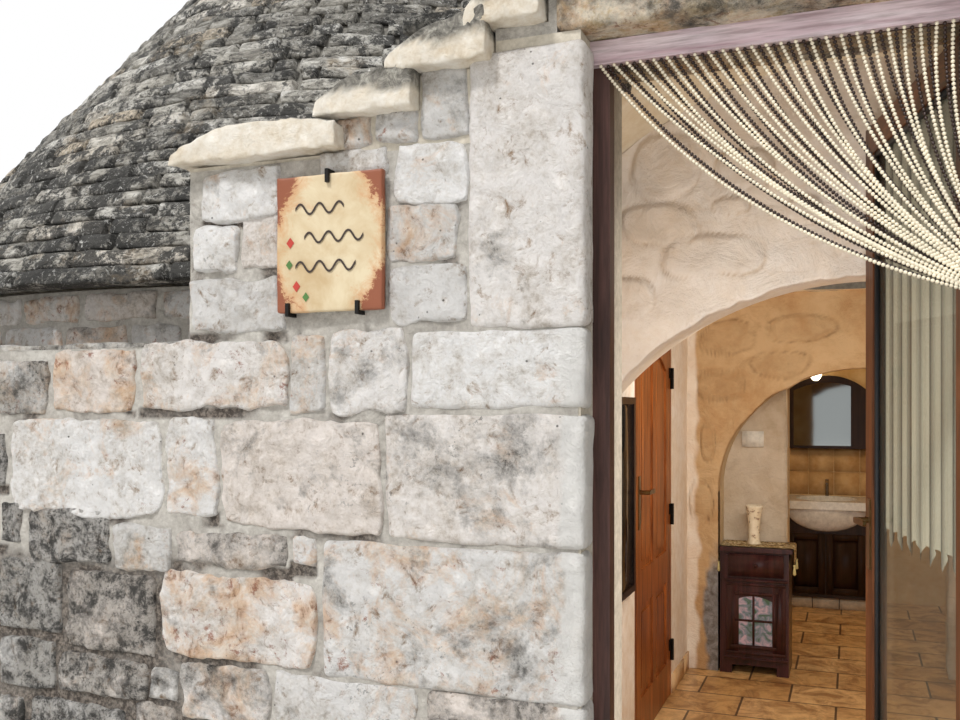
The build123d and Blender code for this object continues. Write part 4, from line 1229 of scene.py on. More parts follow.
# Arch walls inside: rough plaster in which the wall's stones show
plasterwork = {"out": 0.012, "swell": 0.012, "least": 0.003, "shape": 2.6, "round": 1.02, "rim": 1.05,
               "sunk": 0.060,       # depth of the cover's inner edge behind its face
               "footBand": 0.12}    # share of the cover over which its lower edge strays
archWall = {
    "front": 1.070,
    "stones": {        # as columns and rows of the photo
        "upperLarge": (632, 704, 137, 196),
        "middleLeft": (624, 694, 203, 243),
        "middleArched": (661, 762, 235, 276),
        "lowLeft": (608, 656, 281, 316),
        "middleRight": (712, 752, 196, 214),
        "farRight": (784, 824, 194, 228),
        "farRightLow": (834, 876, 226, 256),
        "upperRight": (716, 776, 150, 190),
    },
}
alcove = {"front": 2.900, "infill": 3.150, "half": 0.710, "springing": 1.080, "rise": 0.630,
          "sides": (-0.187, 0.600),             # of the opening behind it
          "whiteTo": -0.625,                    # the lime wash of the side wall runs on to here
          # the next entry places a painted shade low beside the cabinet
          "darkening": (703, 726, 0.40, 0.34),       # two columns of the photo, then height and half height
          "stones": {
              "archLeft": (700, 742, 372, 400),
              "archOver": (748, 806, 352, 378),
              "leftLow": (690, 712, 480, 520),
              "leftMiddle": (700, 716, 420, 462),
              "over": (762, 830, 315, 342),
              "overLeft": (702, 752, 322, 352),
          }}
room = {"left": -0.680, "right": 1.060, "top": 2.100, "floor": 0.120, "middle": 0.190, "back": 5.100,
        "archFoot": 1.560, "archCrown": 1.950, "vault": (2.360, 2.640, 2.200)}


def arcOver(x, heights, spots):      # height at x of the circle through three points
    (xa, xb, xc), (za, zb, zc) = spots, heights
    d = 2 * (xa * (zb - zc) + xb * (zc - za) + xc * (za - zb))
    a, b, c = xa * xa + za * za, xb * xb + zb * zb, xc * xc + zc * zc
    cx = (a * (zb - zc) + b * (zc - za) + c * (za - zb)) / d
    cz = (a * (xc - xb) + b * (xa - xc) + c * (xb - xa)) / d
    radius = math.hypot(xa - cx, za - cz)
    return cz + np.sqrt(np.maximum(radius ** 2 - (np.asarray(x) - cx) ** 2, 0))


def pairs(x, z):
    return np.stack(np.broadcast_arrays(x, z), axis=-1)


def photoBox(left, right, top, bottom, depth):       # a box of the photo on a plane behind the front
    middle = (left + right) / 2
    return (acrossAt(left, depth), acrossAt(right, depth),
            heightAt(middle, bottom, depth), heightAt(middle, top, depth))


def plasterCover(depth, inner, outer, rings, stones, seed, wave=0.012, lip=0.0):
    look = plasterwork
    share = np.concatenate([[0.0, 0.0], np.linspace(0, 1, rings + 1)])
    spots = inner[:, None, :] + (outer - inner)[:, None, :] * share[None, :, None]
    x, z = spots[..., 0], spots[..., 1]
    flat = np.stack([x, z, np.full_like(x, depth)], axis=-1)
    out = look["out"] + wave * roughNoise(flat, 0.30, seed, 3)
    out = out + 0.0035 * roughNoise(flat, 0.07, seed + 3, 3)
    tint = np.zeros_like(x)
    for number, edges in enumerate(stones.values()):
        x0, x1, z0, z1 = photoBox(*edges, depth)
        across = np.abs((x - (x0 + x1) / 2) / ((x1 - x0) / 2)) ** look["shape"]
        upward = np.abs((z - (z0 + z1) / 2) / ((z1 - z0) / 2)) ** look["shape"]
        reach = (across + upward) ** (1 / look["shape"]) + 0.18 * softNoise(flat, 0.16, seed + 40 + number)
        reach = reach + 0.10 * roughNoise(flat, 0.10, seed + 60 + number, 2)
        over = shareOf((look["round"] - reach) / 0.16)
        rim = np.exp(-((reach - look["rim"]) / 0.055) ** 2)
        uneven = 1 + 0.30 * roughNoise(flat, 0.09, seed + 80, 2)
        out += look["swell"] * over * over * (3 - 2 * over) * uneven - 0.005 * rim
        # painted shadow: a dark line of tint round each stone, along the rim of its swelling
        rimShadow = rim * shareOf(0.75 + 0.9 * softNoise(flat, 0.11, seed + 90 + number))
        tint = np.maximum(tint, np.maximum(0.22 * over, rimShadow))
    out = np.maximum(out, look["least"])
    out[:, 0], out[:, 1] = -look["sunk"], out[:, 1] * 0.35
    foot = shareOf(1 - share / look["footBand"])[None, :]
    stray = lip + lip * roughNoise(flat, 0.09, seed + 23, 3)
    z = z + 0.006 * roughNoise(flat, 0.12, seed + 21, 2) - foot * stray
    return pointsOf(x, depth - out, z), gridQuads(len(inner) - 1, len(share) - 1), tint.reshape(-1)


def stonyPlaster(name, pale, warm, stone, dark):
    f = Finish(name, 0.9)
    base = f.ramp(f.mix(0.3, f.noise(3.0, 6, 0.62, 0.6), f.noise(17, 6, 0.7)), (0.38, warm), (0.58, pale))
    streaks = f.ramp(f.noise(1.6, 8, 0.7, 1.6, f.stretched(2.0, 2.0, 5.0)), (0.55, 0.0), (0.70, 0.45))
    base = f.mix(streaks, base, stone)
    # the tint mark: the stones' own colour, and a painted shadow line round each stone
    share = f.times(f.mark("tint"), f.ramp(f.noise(9, 6, 0.7, 0.6), (0.30, 0.25), (0.60, 0.95)))
    base = f.mix(share, base, f.ramp(f.noise(14, 7, 0.72, 0.8), (0.34, dark), (0.62, stone)))
    base = f.mix(f.mark("pale"), base, f.ramp(f.noise(5, 5, 0.6), (0.35, "ead6c0"), (0.6, "f6eadb")))
    # blue-grey painted shade low beside the cabinet, from the mark set in alcoveCover
    f.colour(f.mix(f.times(f.mark("darkening"), 0.85), base,
                   f.ramp(f.noise(22, 7, 0.7, 0.4), (0.36, "4b5056"), (0.60, "8f9499"))))
    f.relief(f.noise(8, 9, 0.72, 0.6), 1.0, 0.022)
    f.relief(f.noise(70, 6, 0.7), 0.5, 0.002)
    return f.material


def archCover():       # over the arch between the entrance bay and the domed bay
    x = np.linspace(room["left"] + 0.002, room["right"] - 0.002, 221)
    spots = (room["left"], room["middle"], room["right"])
    arch = arcOver(x, (room["archFoot"], room["archCrown"], room["archFoot"]), spots)
    vault = arcOver(x, room["vault"], spots)
    points, quads, tint = plasterCover(archWall["front"], pairs(x, arch), pairs(x, vault), 76,
                                       archWall["stones"], 401, lip=0.010)
    finish = stonyPlaster("archPlaster", "f4e9de", "ead9c7", "dcc4a8", "a98a66")
    addPiece("arch_plaster", [(points, quads)], finish, marks={"tint": [tint]})


def alcoveCover():
    half, springing, depth = alcove["half"], alcove["springing"], alcove["front"]
    turn = np.linspace(math.pi, 0, 151)
    curve = pairs(room["middle"] + half * np.cos(turn), springing + alcove["rise"] * np.sin(turn))
    rise = np.linspace(room["floor"], springing, 31)[:-1]
    inner = np.vstack([pairs(room["middle"] - half, rise), curve, pairs(room["middle"] + half, rise[::-1])])
    height, width = room["top"] - springing, room["right"] - room["left"]
    walk = np.linspace(0, 1, 151) * (2 * height + width)       # up the left side, across and down the right
    edge = pairs(room["left"] + np.clip(walk - height, 0, width),
                 springing + np.clip(walk, 0, height) - np.clip(walk - height - width, 0, height))
    outer = np.vstack([pairs(room["left"], rise), edge, pairs(room["right"], rise[::-1])])
    points, quads, tint = plasterCover(depth, inner, outer, 44, alcove["stones"], 431,
                                       wave=0.020, lip=0.008)
    pale = shareOf((alcove["whiteTo"] + 0.025 * roughNoise(points, 0.16, 439, 3) - points[:, 0]) / 0.02)
    # painted shade: a blue-grey patch low on the alcove's left, beside the cabinet
    left, right, middle, high = alcove["darkening"]
    a, b = acrossAt(left, depth), acrossAt(right, depth)
    reach = np.hypot((points[:, 0] - (a + b) / 2) / (b - a) * 2, (points[:, 2] - middle) / high)
    darkening = shareOf((1.1 - reach + 0.3 * roughNoise(points, 0.10, 441, 3)) / 0.3)
    finish = stonyPlaster("alcovePlaster", "d2b085", "bd9467", "a98359", "7d6041")
    addPiece("alcove_plaster", [(points, quads)], finish,
             marks={"tint": [tint], "pale": [pale], "darkening": [darkening]})


def infillCover():       # both sides of the opening behind the alcove
    parts, tints = [], []
    z = np.linspace(room["floor"], room["top"], 70)
    stray = 0.008 * roughNoise(np.stack([z, z * 0, z * 0], axis=1), 0.2, 5)
    for wall, opening in zip((room["left"], room["right"]), alcove["sides"]):
        points, quads, tint = plasterCover(alcove["infill"], pairs(opening + stray, z), pairs(wall, z), 16,
                                           {}, 451, wave=0.014)
        parts.append((points, quads if wall > 0 else quads[:, ::-1]))
        tints.append(tint)
    finish = stonyPlaster("infillPlaster", "d6c6b0", "c0ab90", "a8957c", "7c7368")
    addPiece("infill_plaster", parts, finish, marks={"tint": tints})


archCover()
alcoveCover()
infillCover()
print("inner walls plastered")


# Bead curtain: two layers of strings, gathered at the right post, with the tails hanging from the tie
curtain = {
    "strings": 56, "pitch": 0.0100, "radius": 0.0045, "top": 2.380, "left": -0.456, "right": 0.468,
    "layers": (0.0945, 0.1025), "sag": 0.084,
    "tie": (0.380, 1.775),
    "step": 0.0026, "stepAlong": (0.55, 0.35),       # at the tie, from one string to the next
    "tails": 26, "tailHalf": (0.030, 0.0145), "tailMiddle": (0.411, 0.0975), "tailLength": 1.045,
    "tailShare": 0.9,         # size of the beads in the tails
    "spiral": 2.399963,       # turn from one tail to the next, which spreads them evenly
    "sides": 6,
    "barrel": ((0.30, -0.46), (1.0, -0.22), (1.0, 0.22), (0.30, 0.46)),       # radius and height, as shares
}


def beadsAlong(route, radius):       # barrel beads strung along a route of points
    pitch, sides = curtain["pitch"], curtain["sides"]
    steps = np.linalg.norm(np.diff(route, axis=0), axis=1)
    run = np.concatenate([[0], np.cumsum(steps)])
    spots = np.arange(pitch / 2, run[-1] - pitch / 3, pitch)
    centre = np.stack([np.interp(spots, run, route[:, axis]) for axis in range(3)], axis=1)
    ahead = np.stack([np.interp(spots + 0.002, run, route[:, axis]) for axis in range(3)], axis=1) - centre
    ahead /= np.maximum(np.linalg.norm(ahead, axis=1, keepdims=True), 1e-9)
    side = np.cross(ahead, [0.0, 1.0, 0.0])
    side /= np.linalg.norm(side, axis=1, keepdims=True)
    up = np.cross(side, ahead)
    turn = np.arange(sides) * 2 * math.pi / sides
    shape = [(math.cos(t) * r, math.sin(t) * r, h) for r, h in curtain["barrel"] for t in turn]
    points = np.stack([centre + radius * (a * side + b * up) + ahead * (h * pitch) for a, b, h in shape],
                      axis=1)
    index = np.arange(len(shape)).reshape(-1, sides)
    after = np.roll(index, -1, axis=1)
    quads = quadsOf(index[:-1], after[:-1], after[1:], index[1:])
    allQuads = quads[None, :, :] + len(shape) * np.arange(len(centre))[:, None, None]
    return points.reshape(-1, 3), allQuads.reshape(-1, 4)


def stringRoute(number):
    share = number / (curtain["strings"] - 1)
    top = np.array([curtain["left"] + (curtain["right"] - curtain["left"]) * share, curtain["top"]])
    end = np.array(curtain["tie"]) + number * curtain["step"] * np.array(curtain["stepAlong"])
    length = np.linalg.norm(end - top)
    along = (end - top) / length
    across = np.array([along[1], -along[0]])
    rng = np.random.default_rng(500 + number)
    sag = curtain["sag"] * (1.0 if number == 0 else rng.uniform(0.62, 0.98))
    t = np.linspace(0, 1, 40)
    flat = top + np.outer(t, end - top) + np.outer(4 * sag * length * t * (1 - t), across)
    depth = curtain["layers"][number % 2] + 0.001 * np.sin(t * 9 + number)
    return pointsOf(flat[:, 0], depth, flat[:, 1])


def tailRoute(number):
    turn = number * curtain["spiral"]
    reach = math.sqrt((number + 0.5) / curtain["tails"])
    rng = np.random.default_rng(600 + number)
    t = np.linspace(0, 1, 24)
    swell = reach * (0.86 + 0.12 * np.sin(t * 5 + number))
    x = curtain["tailMiddle"][0] + curtain["tailHalf"][0] * swell * math.cos(turn)
    y = curtain["tailMiddle"][1] + curtain["tailHalf"][1] * swell * math.sin(turn)
    return pointsOf(x, y, curtain["tie"][1] - t * (curtain["tailLength"] - rng.uniform(0, 0.03)))


def beadCurtain():
    paleBeads, darkBeads = plain("paleBeads", "f6ead0", 0.35), plain("darkBeads", "332019", 0.3)
    for part, route, count, size in (("strings", stringRoute, curtain["strings"], 1.0),
                                     ("tails", tailRoute, curtain["tails"], curtain["tailShare"])):
        made = [beadsAlong(route(number), curtain["radius"] * size) for number in range(count)]
        palePiece = addPiece("pale_bead_" + part, made[0::2], paleBeads)
        addPiece("dark_bead_" + part, made[1::2], darkBeads)
        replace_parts(palePiece, "bead_" + part)


beadCurtain()
print("beads strung")

# Glazed leaf: drawn shut, then turned open about its hinges
leaf = {
    "hinge": (0.440, 0.1745), "open": math.radians(76), "glass": (-0.352, 0.352), "glassLow": 0.315,
    "glassHigh": 2.300, "faces": (0.123, 0.165),
    "strip": 0.016, "stripDepths": (0.127, 0.1408),       # rubber round the glass, on the street side
    "keyhole": (-0.395, -0.373, 1.010, 1.072), "keyPlate": 0.003,
    "laceLow": 1.090, "laceHalf": 0.338, "laceDepth": 0.1545, "laceGap": 0.004,
    "fold": 0.0042, "folds": 17, "point": 0.088, "pointDrop": 0.055,
}


def onLeaf(points, quads):
    dx, dy = points[:, 0] - leaf["hinge"][0], points[:, 1] - leaf["hinge"][1]
    c, s = math.cos(leaf["open"]), math.sin(leaf["open"])
    x, y = leaf["hinge"][0] + dx * c + dy * s, leaf["hinge"][1] - dx * s + dy * c
    return pointsOf(x, y, points[:, 2]), quads


def box(low, high, rounding=0.002):
    return roughBlock(low, high, 1.0, 1, rounding)


def laceNet():
    f = Finish("laceNet", 0.9)
    # bars: dark stripes that thin the lace, painted shade in the gaps between its folds
    bars = f.math("ABSOLUTE", f.math("SINE", f.times(f.mark("across"), 34.0)))
    weave = f.noise(420, 3, 0.6)
    f.colour(f.mix(f.ramp(bars, (0.10, 0.0), (0.80, 1.0)), "2e231a", f.mix(weave, "b1aa8e", "eee8d0")))
    cover = f.times(f.ramp(bars, (0.04, 0.50), (0.30, 0.96)), f.ramp(weave, (0.30, 0.86), (0.55, 1.0)))
    f.feed(f.shader.inputs["Alpha"], cover)
    f.relief(weave, 0.4, 0.0008)
    return f.material


def lacePiece():
    columns, rowCount = 200, 26
    s = np.linspace(-1, 1, columns + 1)
    x = s * leaf["laceHalf"]
    y = leaf["laceDepth"] + leaf["fold"] * np.sin((s + 1) * math.pi * leaf["folds"] + 0.8 * np.sin(s * 7))
    hem = leaf["laceLow"] + leaf["pointDrop"] * np.abs(np.sin(x * math.pi / leaf["point"])) ** 0.7
    top = leaf["glassHigh"] - leaf["laceGap"]
    z = hem[:, None] + (top - hem[:, None]) * np.linspace(0, 1, rowCount + 1)[None, :]
    points = pointsOf(x[:, None], y[:, None], z)
    width = float(np.sum(np.hypot(np.diff(x), np.diff(y))))
    across = np.repeat(np.linspace(0, 1, columns + 1) * width, rowCount + 1)
    piece = addPiece("door_lace", [onLeaf(points, gridQuads(columns, rowCount))], laceNet(),
                     body="door_leaf", marks={"across": [across]})
    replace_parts(piece, "leaf_lace")


def leafTrim():
    (left, right), (y0, y1), strip = leaf["glass"], leaf["stripDepths"], leaf["strip"]
    low, high = leaf["glassLow"], leaf["glassHigh"]
    strips = [box((a, y0, low), (a + strip, y1, high), 0.003) for a in (left, right - strip)]
    inner, outer = left + strip, right - strip
    strips += [box((inner, y0, a), (outer, y1, a + strip), 0.003) for a in (low, high - strip)]
    addPiece("glazing_strips", [onLeaf(*part) for part in strips], plain("rubberStrip", "1d2024", 0.5),
             body="door_leaf")
    x0, x1, z0, z1 = leaf["keyhole"]
    (front, back), thick = leaf["faces"], leaf["keyPlate"]
    plates = [box((x0, y, z0), (x1, y + thick, z1), 0.0012) for y in (front - thick, back)]
    addPiece("keyhole_plates", [onLeaf(*part) for part in plates],
             plain("wornSteel", "d8d2c4", 0.3, Metallic=0.7), body="door_leaf")


lacePiece()
leafTrim()


# Small cabinet in the arch: panes, mouldings and a knob on its front
cabinetBox = nodeBox("cabinet")
cabinetFront = {
    "face": 2.870, "rim": 0.022,
    "panes": (-0.430, -0.245, 0.275, 0.528),       # left, right, foot and top of the four panes
    "crown": 0.20,            # how far the upper panes round off, as a share of their height
    "bar": 0.012, "barProud": (0.005, 0.0045), "frame": 0.022, "frameProud": 0.006, "lap": 0.002,
    "mouldings": [       # inset at the left and right, lowest, highest, and how proud
        (0.000, 0.000, 0.603, 0.617, 0.010),
        (0.020, 0.020, 0.628, 0.746, 0.006),
        (0.034, 0.034, 0.642, 0.732, 0.009),
        (0.000, 0.000, 0.752, 0.764, 0.008),
        (0.000, 0.000, 0.196, 0.210, 0.010),
        (0.010, 0.244, 0.222, 0.596, 0.004),
        (0.244, 0.010, 0.222, 0.596, 0.004),
        (0.010, 0.010, 0.580, 0.596, 0.0045),
        (0.010, 0.010, 0.222, 0.240, 0.0045),
    ],
    "knob": [(0.004, 0.0), (0.005, 0.010), (0.011, 0.014), (0.012, 0.020), (0.007, 0.026), (0.001, 0.027)],
    "knobHeight": 0.690,
}


def cabinetDetails():
    x0, x1, z0, z1 = cabinetFront["panes"]
    front, bar, lap, wide = (cabinetFront[key] for key in ("face", "bar", "lap", "frame"))
    middle, across = (x0 + x1) / 2, (x1 - x0) / 2
    cells = []
    for a, b in ((x0, (x0 + x1 - bar) / 2), ((x0 + x1 + bar) / 2, x1)):
        for c, d in ((z0, (z0 + z1 - bar) / 2), ((z0 + z1 + bar) / 2, z1)):
            x, z = np.meshgrid(np.linspace(a, b, 9), np.linspace(c, d, 9), indexing="ij")
            if d == z1:
                z = c + (z - c) * (1 - cabinetFront["crown"] * ((x - middle) / across) ** 2)
            cells.append((pointsOf(x, front - 0.0015, z), gridQuads(8, 8)))
    f = Finish("paneCloth", 0.6)
    f.colour(f.ramp(f.noise(26, 5, 0.6, 1.0), (0.35, "4f6a52"), (0.5, "7f8b98"), (0.65, "c9aebb")))
    addPiece("cabinet_panes", cells, f.material, smooth=False)

    def onFace(left, right, low, high, proud, into=0.001, rounding=0.002):
        return box((left, front - proud, low), (right, front + into, high), rounding)

    proud, (upright, level) = cabinetFront["frameProud"], cabinetFront["barProud"]
    frame = [onFace(x0 - wide, x1 + wide, z0 - wide, z0 - lap, proud),
             onFace(x0 - wide, x0 - lap, z0 - lap, z1 + wide, proud),
             onFace(x1 + lap, x1 + wide, z0 - lap, z1 + wide, proud),
             onFace(x0 - lap, x1 + lap, z1 + 2 * lap, z1 + wide, proud),
             onFace((x0 + x1 - bar) / 2, (x0 + x1 + bar) / 2, z0 - lap, z1 + 2 * lap, upright),
             onFace(x0 - lap, x1 + lap, (z0 + z1 - bar) / 2, (z0 + z1 + bar) / 2, level)]
    left, right = cabinetBox[0][0] + cabinetFront["rim"], cabinetBox[1][0] - cabinetFront["rim"]
    for a, b, low, high, proud in cabinetFront["mouldings"]:
        frame.append(onFace(left + a, right - b, low, high, proud, into=0.002, rounding=0.003))
    points, quads = turnedShell(cabinetFront["knob"], (0, 0), 14)
    points = pointsOf((left + right) / 2 + points[:, 0], front - points[:, 2],
                      cabinetFront["knobHeight"] + points[:, 1])
    frame.append((points, quads[:, ::-1]))
    addPiece("cabinet_frame", frame, cabinetWood)


# Runner over the cabinet, with a tassel at each corner
runner = {
    "width": 0.235, "fall": 0.085, "middle": 3.000, "over": 0.004, "loft": 0.0025, "hang": 0.003,
    "tassel": [(0.003, -0.056), (0.009, -0.050), (0.006, -0.018), (0.004, -0.012), (0.007, -0.004),
               (0.002, 0.0)],
    "tasselInset": 0.012,
}


def runnerCloth():
    low, high = cabinetBox
    fall, half = runner["fall"], runner["width"] / 2
    left, right, top = low[0] - runner["over"], high[0] + runner["over"], high[2] + runner["loft"]
    width = right - left
    y = np.linspace(runner["middle"] - half, runner["middle"] + half, 17)
    s, y = np.meshgrid(np.linspace(-fall, width + fall, 61), y, indexing="ij")
    hangs = np.abs(s - width / 2) > width / 2
    lies = (s > 0) & (s < width)
    x = np.clip(s, 0, width) + left + runner["hang"] * np.sign(s - width / 2) * hangs
    z = top - np.clip(-s, 0, None) - np.clip(s - width, 0, None) + 0.0008 * np.sin(y * 90) * lies
    f = Finish("runnerWeave", 0.85)
    f.colour(f.ramp(f.noise(34, 3, 0.5, 2.2), (0.36, "3d2a1c"), (0.46, "8c6b3c"), (0.55, "cdb98a"),
                    (0.66, "efe6c8")))
    points, tassels = pointsOf(x, y, z), []
    inset = half - runner["tasselInset"]
    for x in (left - 0.004, right + 0.004):
        for offset in (-inset, inset):
            shell, quads = turnedShell(runner["tassel"], (x, runner["middle"] + offset), 10)
            tassels.append((shell + [0, 0, top - fall + 0.002], quads))
    tasselPiece = addPiece("runner_tassels", tassels, plain("tasselYarn", "d9c98c", 0.9))
    piece = addPiece("cabinet_runner", [(points, gridQuads(60, 16))], f.material)


# Vase, switch, wall lamp, tiles and skirting
fittings = {
    "vase": {"place": (-0.345, 2.985), "height": 0.205, "foot": 0.004},
    "switch": {"edges": (742, 764, 431, 447),       # columns and rows of the photo
               "depth": alcove["infill"] - 0.012},
    "lamp": {"spot": (816, 377), "depth": 5.040, "reach": 0.040,       # column and row of the photo
             "shade": [(0.004, -0.030), (0.020, -0.024), (0.034, -0.006), (0.040, 0.014), (0.036, 0.030),
                       (0.004, 0.034)]},
    "tiles": {"low": 0.87, "rows": 2, "size": 0.168, "joint": 0.0015, "face": 5.092, "thick": 0.012},
    "border": {"height": 0.022, "depths": (5.090, 5.101)},
    "skirting": {"height": 0.090, "length": 0.33, "joint": 0.001, "proud": 0.010,
                 "runs": ((0.455, 1.555), (2.405, 2.893))},       # between the arches
}


def vasePiece():
    vase = fittings["vase"]
    height = vase["height"]
    outline = [(0.002, 0.0), (0.034, 0.0), (0.035, 0.006), (0.028, 0.03), (0.029, 0.10), (0.037, 0.16),
               (0.045, height - 0.008), (0.047, height), (0.043, height), (0.034, 0.16), (0.002, 0.150)]
    points, quads = turnedShell(outline, vase["place"], 28)
    f = Finish("vaseGlaze", 0.35)
    f.colour(f.ramp(f.noise(40, 4, 0.6), (0.34, "7a4a34"), (0.42, "e7d6b6"), (0.7, "f3e8d0")))
    foot = cabinetBox[1][2] + vase["foot"]
    addPiece("vase", [(points + [0, 0, foot], quads)], f.material)


def switchAndLamp():
    depth = fittings["switch"]["depth"]
    a, b, c, d = photoBox(*fittings["switch"]["edges"], depth)
    plates = [box((a, depth - 0.016, c), (b, depth + 0.010, d), 0.004),
              box((a + 0.018, depth - 0.019, c + 0.014), (b - 0.018, depth - 0.014, d - 0.014))]
    addPiece("switch_box", plates, plain("switchPlastic", "efe9dc", 0.4))
    lamp = fittings["lamp"]
    depth = lamp["depth"]
    x, z = acrossAt(lamp["spot"][0], depth), heightAt(*lamp["spot"], depth)
    points, quads = turnedShell(lamp["shade"], (x, depth - lamp["reach"]), 20)
    addPiece("wall_lamp", [(points + [0, 0, z], quads)], lampShade)
    bracket = box((x - 0.012, depth - 0.03, z + 0.010), (x + 0.012, room["back"], z + 0.034))
    addPiece("lamp_bracket", [bracket], brass)


def wallTiles():
    tiles, border = fittings["tiles"], fittings["border"]
    width, size, joint = room["right"] - room["left"], tiles["size"], tiles["joint"]
    count = int(width / size)
    pitch = width / count
    made = []
    for row in range(tiles["rows"]):
        for column in range(count):
            x, z = room["left"] + column * pitch + joint, tiles["low"] + row * size + joint
            low = np.array([x, tiles["face"], z])
            made.append(box(low, low + [pitch - 2 * joint, tiles["thick"], size - 2 * joint]))
    f = Finish("wallTiles", 0.25)
    f.colour(f.mix(0.5, f.ramp(f.noise(8, 5, 0.6), (0.35, "b98f5f"), (0.62, "d9b583")),
                   f.ramp(f.island(), (0.0, "c9b49a"), (1.0, "ffffff")), "MULTIPLY"))
    addPiece("wall_tiles", made, f.material)
    top = tiles["low"] + tiles["rows"] * size
    front, back = border["depths"]
    strip = box((room["left"], front, top), (room["right"], back, top + border["height"]))
    addPiece("tile_border", [strip], vanityWood)


def skirtingTiles():
    look, made = fittings["skirting"], []
    wall, floor, joint = room["left"], room["floor"], look["joint"]
    for start, end in look["runs"]:
        y = start
        while y < end - 0.02:
            far = min(y + look["length"], end)
            made.append(box((wall - 0.002, y + joint, floor),
                            (wall + look["proud"], far - joint, floor + look["height"])))
            y = far
    f = Finish("skirtingTiles", 0.4)
    f.colour(f.ramp(f.noise(9, 5, 0.6), (0.35, "c49a68"), (0.62, "e0bd90")))
    addPiece("skirting", made, f.material)


# Wash stand: the bowl's front, the doors and plinth below it, and the mirrors
washing = {
    "bowl": {"half": 0.262, "proud": 0.074, "deep": 0.158},
    "doors": {"low": 0.225, "high": 0.640, "side": 0.010, "gap": 0.003, "frame": 0.045, "proud": 0.012,
              "panel": 0.005},
    "plinth": {"pitch": 0.174, "width": 0.170, "count": 3, "depths": (0.030, 0.0415), "top": 0.196},
    "pane": {"left": 0.045, "right": 0.110, "foot": 0.020, "top": 0.050, "crown": 0.16},
    "mirrorRim": 0.028,
    "keyhole": ((-0.6801, 1.652, 1.028), (-0.6768, 1.678, 1.082)),
}


def bowlAndDoors():
    low, high = nodeBox("vanity")
    middle, front = (low[0] + high[0]) / 2, low[1]
    bowl, doors, plinth = washing["bowl"], washing["doors"], washing["plinth"]
    turn, lean = np.meshgrid(np.linspace(0, math.pi, 33), np.linspace(0, math.pi / 2, 13), indexing="ij")
    points = pointsOf(middle + bowl["half"] * np.cos(turn),
                      front + 0.004 - bowl["proud"] * np.sin(turn) * np.cos(lean),
                      high[2] + 0.002 - bowl["deep"] * np.sin(turn) * np.sin(lean))
    addPiece("basin_front", [(points, gridQuads(32, 12))], ceramic)
    made = []
    c, d, wide, back = doors["low"], doors["high"], doors["frame"], front + 0.001
    outer, inner = front - doors["proud"], front - doors["panel"]
    left, right = low[0] + doors["side"], high[0] - doors["side"]
    for a, b in ((left, middle - doors["gap"]), (middle + doors["gap"], right)):
        made += [box((a, outer, c), (a + wide, back, d)),
                 box((b - wide, outer, c), (b, back, d)),
                 box((a + wide, outer, c), (b - wide, back, c + wide)),
                 box((a + wide, outer, d - wide), (b - wide, back, d)),
                 box((a + wide, inner, c + wide), (b - wide, back, d - wide))]
    addPiece("vanity_doors", made, vanityWood)
    near, far = plinth["depths"]
    tiles = []
    for number in range(plinth["count"]):
        left = low[0] + number * plinth["pitch"]
        tiles.append(box((left, front + near, room["floor"]),
                         (left + plinth["width"], front + far, plinth["top"])))
    addPiece("vanity_plinth", tiles, plain("plinthTiles", "d6c4ab", 0.4))


def mirrors():
    low, high = nodeBox("mirror_cabinet")
    pane, rim = washing["pane"], washing["mirrorRim"]
    x = np.linspace(low[0] + pane["left"], high[0] - pane["right"], 25)
    x, t = np.meshgrid(x, np.linspace(0, 1, 9), indexing="ij")
    across = (x - (low[0] + high[0]) / 2) / (high[0] - low[0])
    crown = high[2] - pane["top"] - pane["crown"] * across ** 2 * 2
    z = low[2] + pane["foot"] + (crown - low[2] - pane["foot"]) * t
    pane = (pointsOf(x, low[1] - 0.003, z), gridQuads(24, 8))
    addPiece("mirror_pane", [pane], mirrorGlass.material, smooth=False)
    low, high = nodeBox("wall_mirror")
    # a near-black pane: painted dark reflection in the wall mirror
    glass = box((high[0] - 0.006, low[1] + rim, low[2] + rim),
                (high[0] - 0.002, high[1] - rim, high[2] - rim), 0.001)
    addPiece("wall_mirror_pane", [glass], darkMirrorReflection)
    addPiece("inner_keyhole_plate", [box(*washing["keyhole"], 0.001)], brass,
             body="inner_door")


cabinetDetails()
runnerCloth()
vasePiece()
switchAndLamp()
wallTiles()
skirtingTiles()
bowlAndDoors()
mirrors()
print("fittings placed")


# Plaque: a bare tablet with burnt edges and a plain pattern in dark brown, red and green
plaque = {
    "lift": 0.0022,
    "waves": ((-0.62, 0.30), (-0.45, 0.66), (-0.62, 0.52)),       # from and to, as shares of half the width
    "firstWave": 0.50, "wavePitch": 0.42, "waveHigh": 0.075, "waveTurns": 17,
    "lozenges": {       # colour, size and places
        "plaque_red": ("b93a2c", 0.075, ((-0.72, 0.02), (-0.60, -0.62))),
        "plaque_green": ("4f7a3a", 0.065, ((-0.74, -0.30), (-0.42, -0.78))),
    },
}


def plaqueGlaze():
    f = Finish("plaqueGlaze", 0.45)
    burn = f.plus(f.mark("edge"), f.times(f.noise(12, 10, 0.80, 0.5), 1.25))
    base = f.ramp(f.noise(9, 6, 0.6, 0.4), (0.34, "b89f78"), (0.62, "cfbf9f"))
    base = f.mix(f.ramp(burn, (0.74, 0.0), (0.98, 0.75)), base, "bd8350")
    base = f.mix(f.ramp(burn, (0.94, 0.0), (1.12, 0.9)), base, "7c3a20")
    f.colour(f.mix(f.ramp(burn, (1.14, 0.0), (1.32, 0.8)), base, "421e12"))
    f.relief(f.noise(50, 5), 0.2, 0.001)
    return f.material


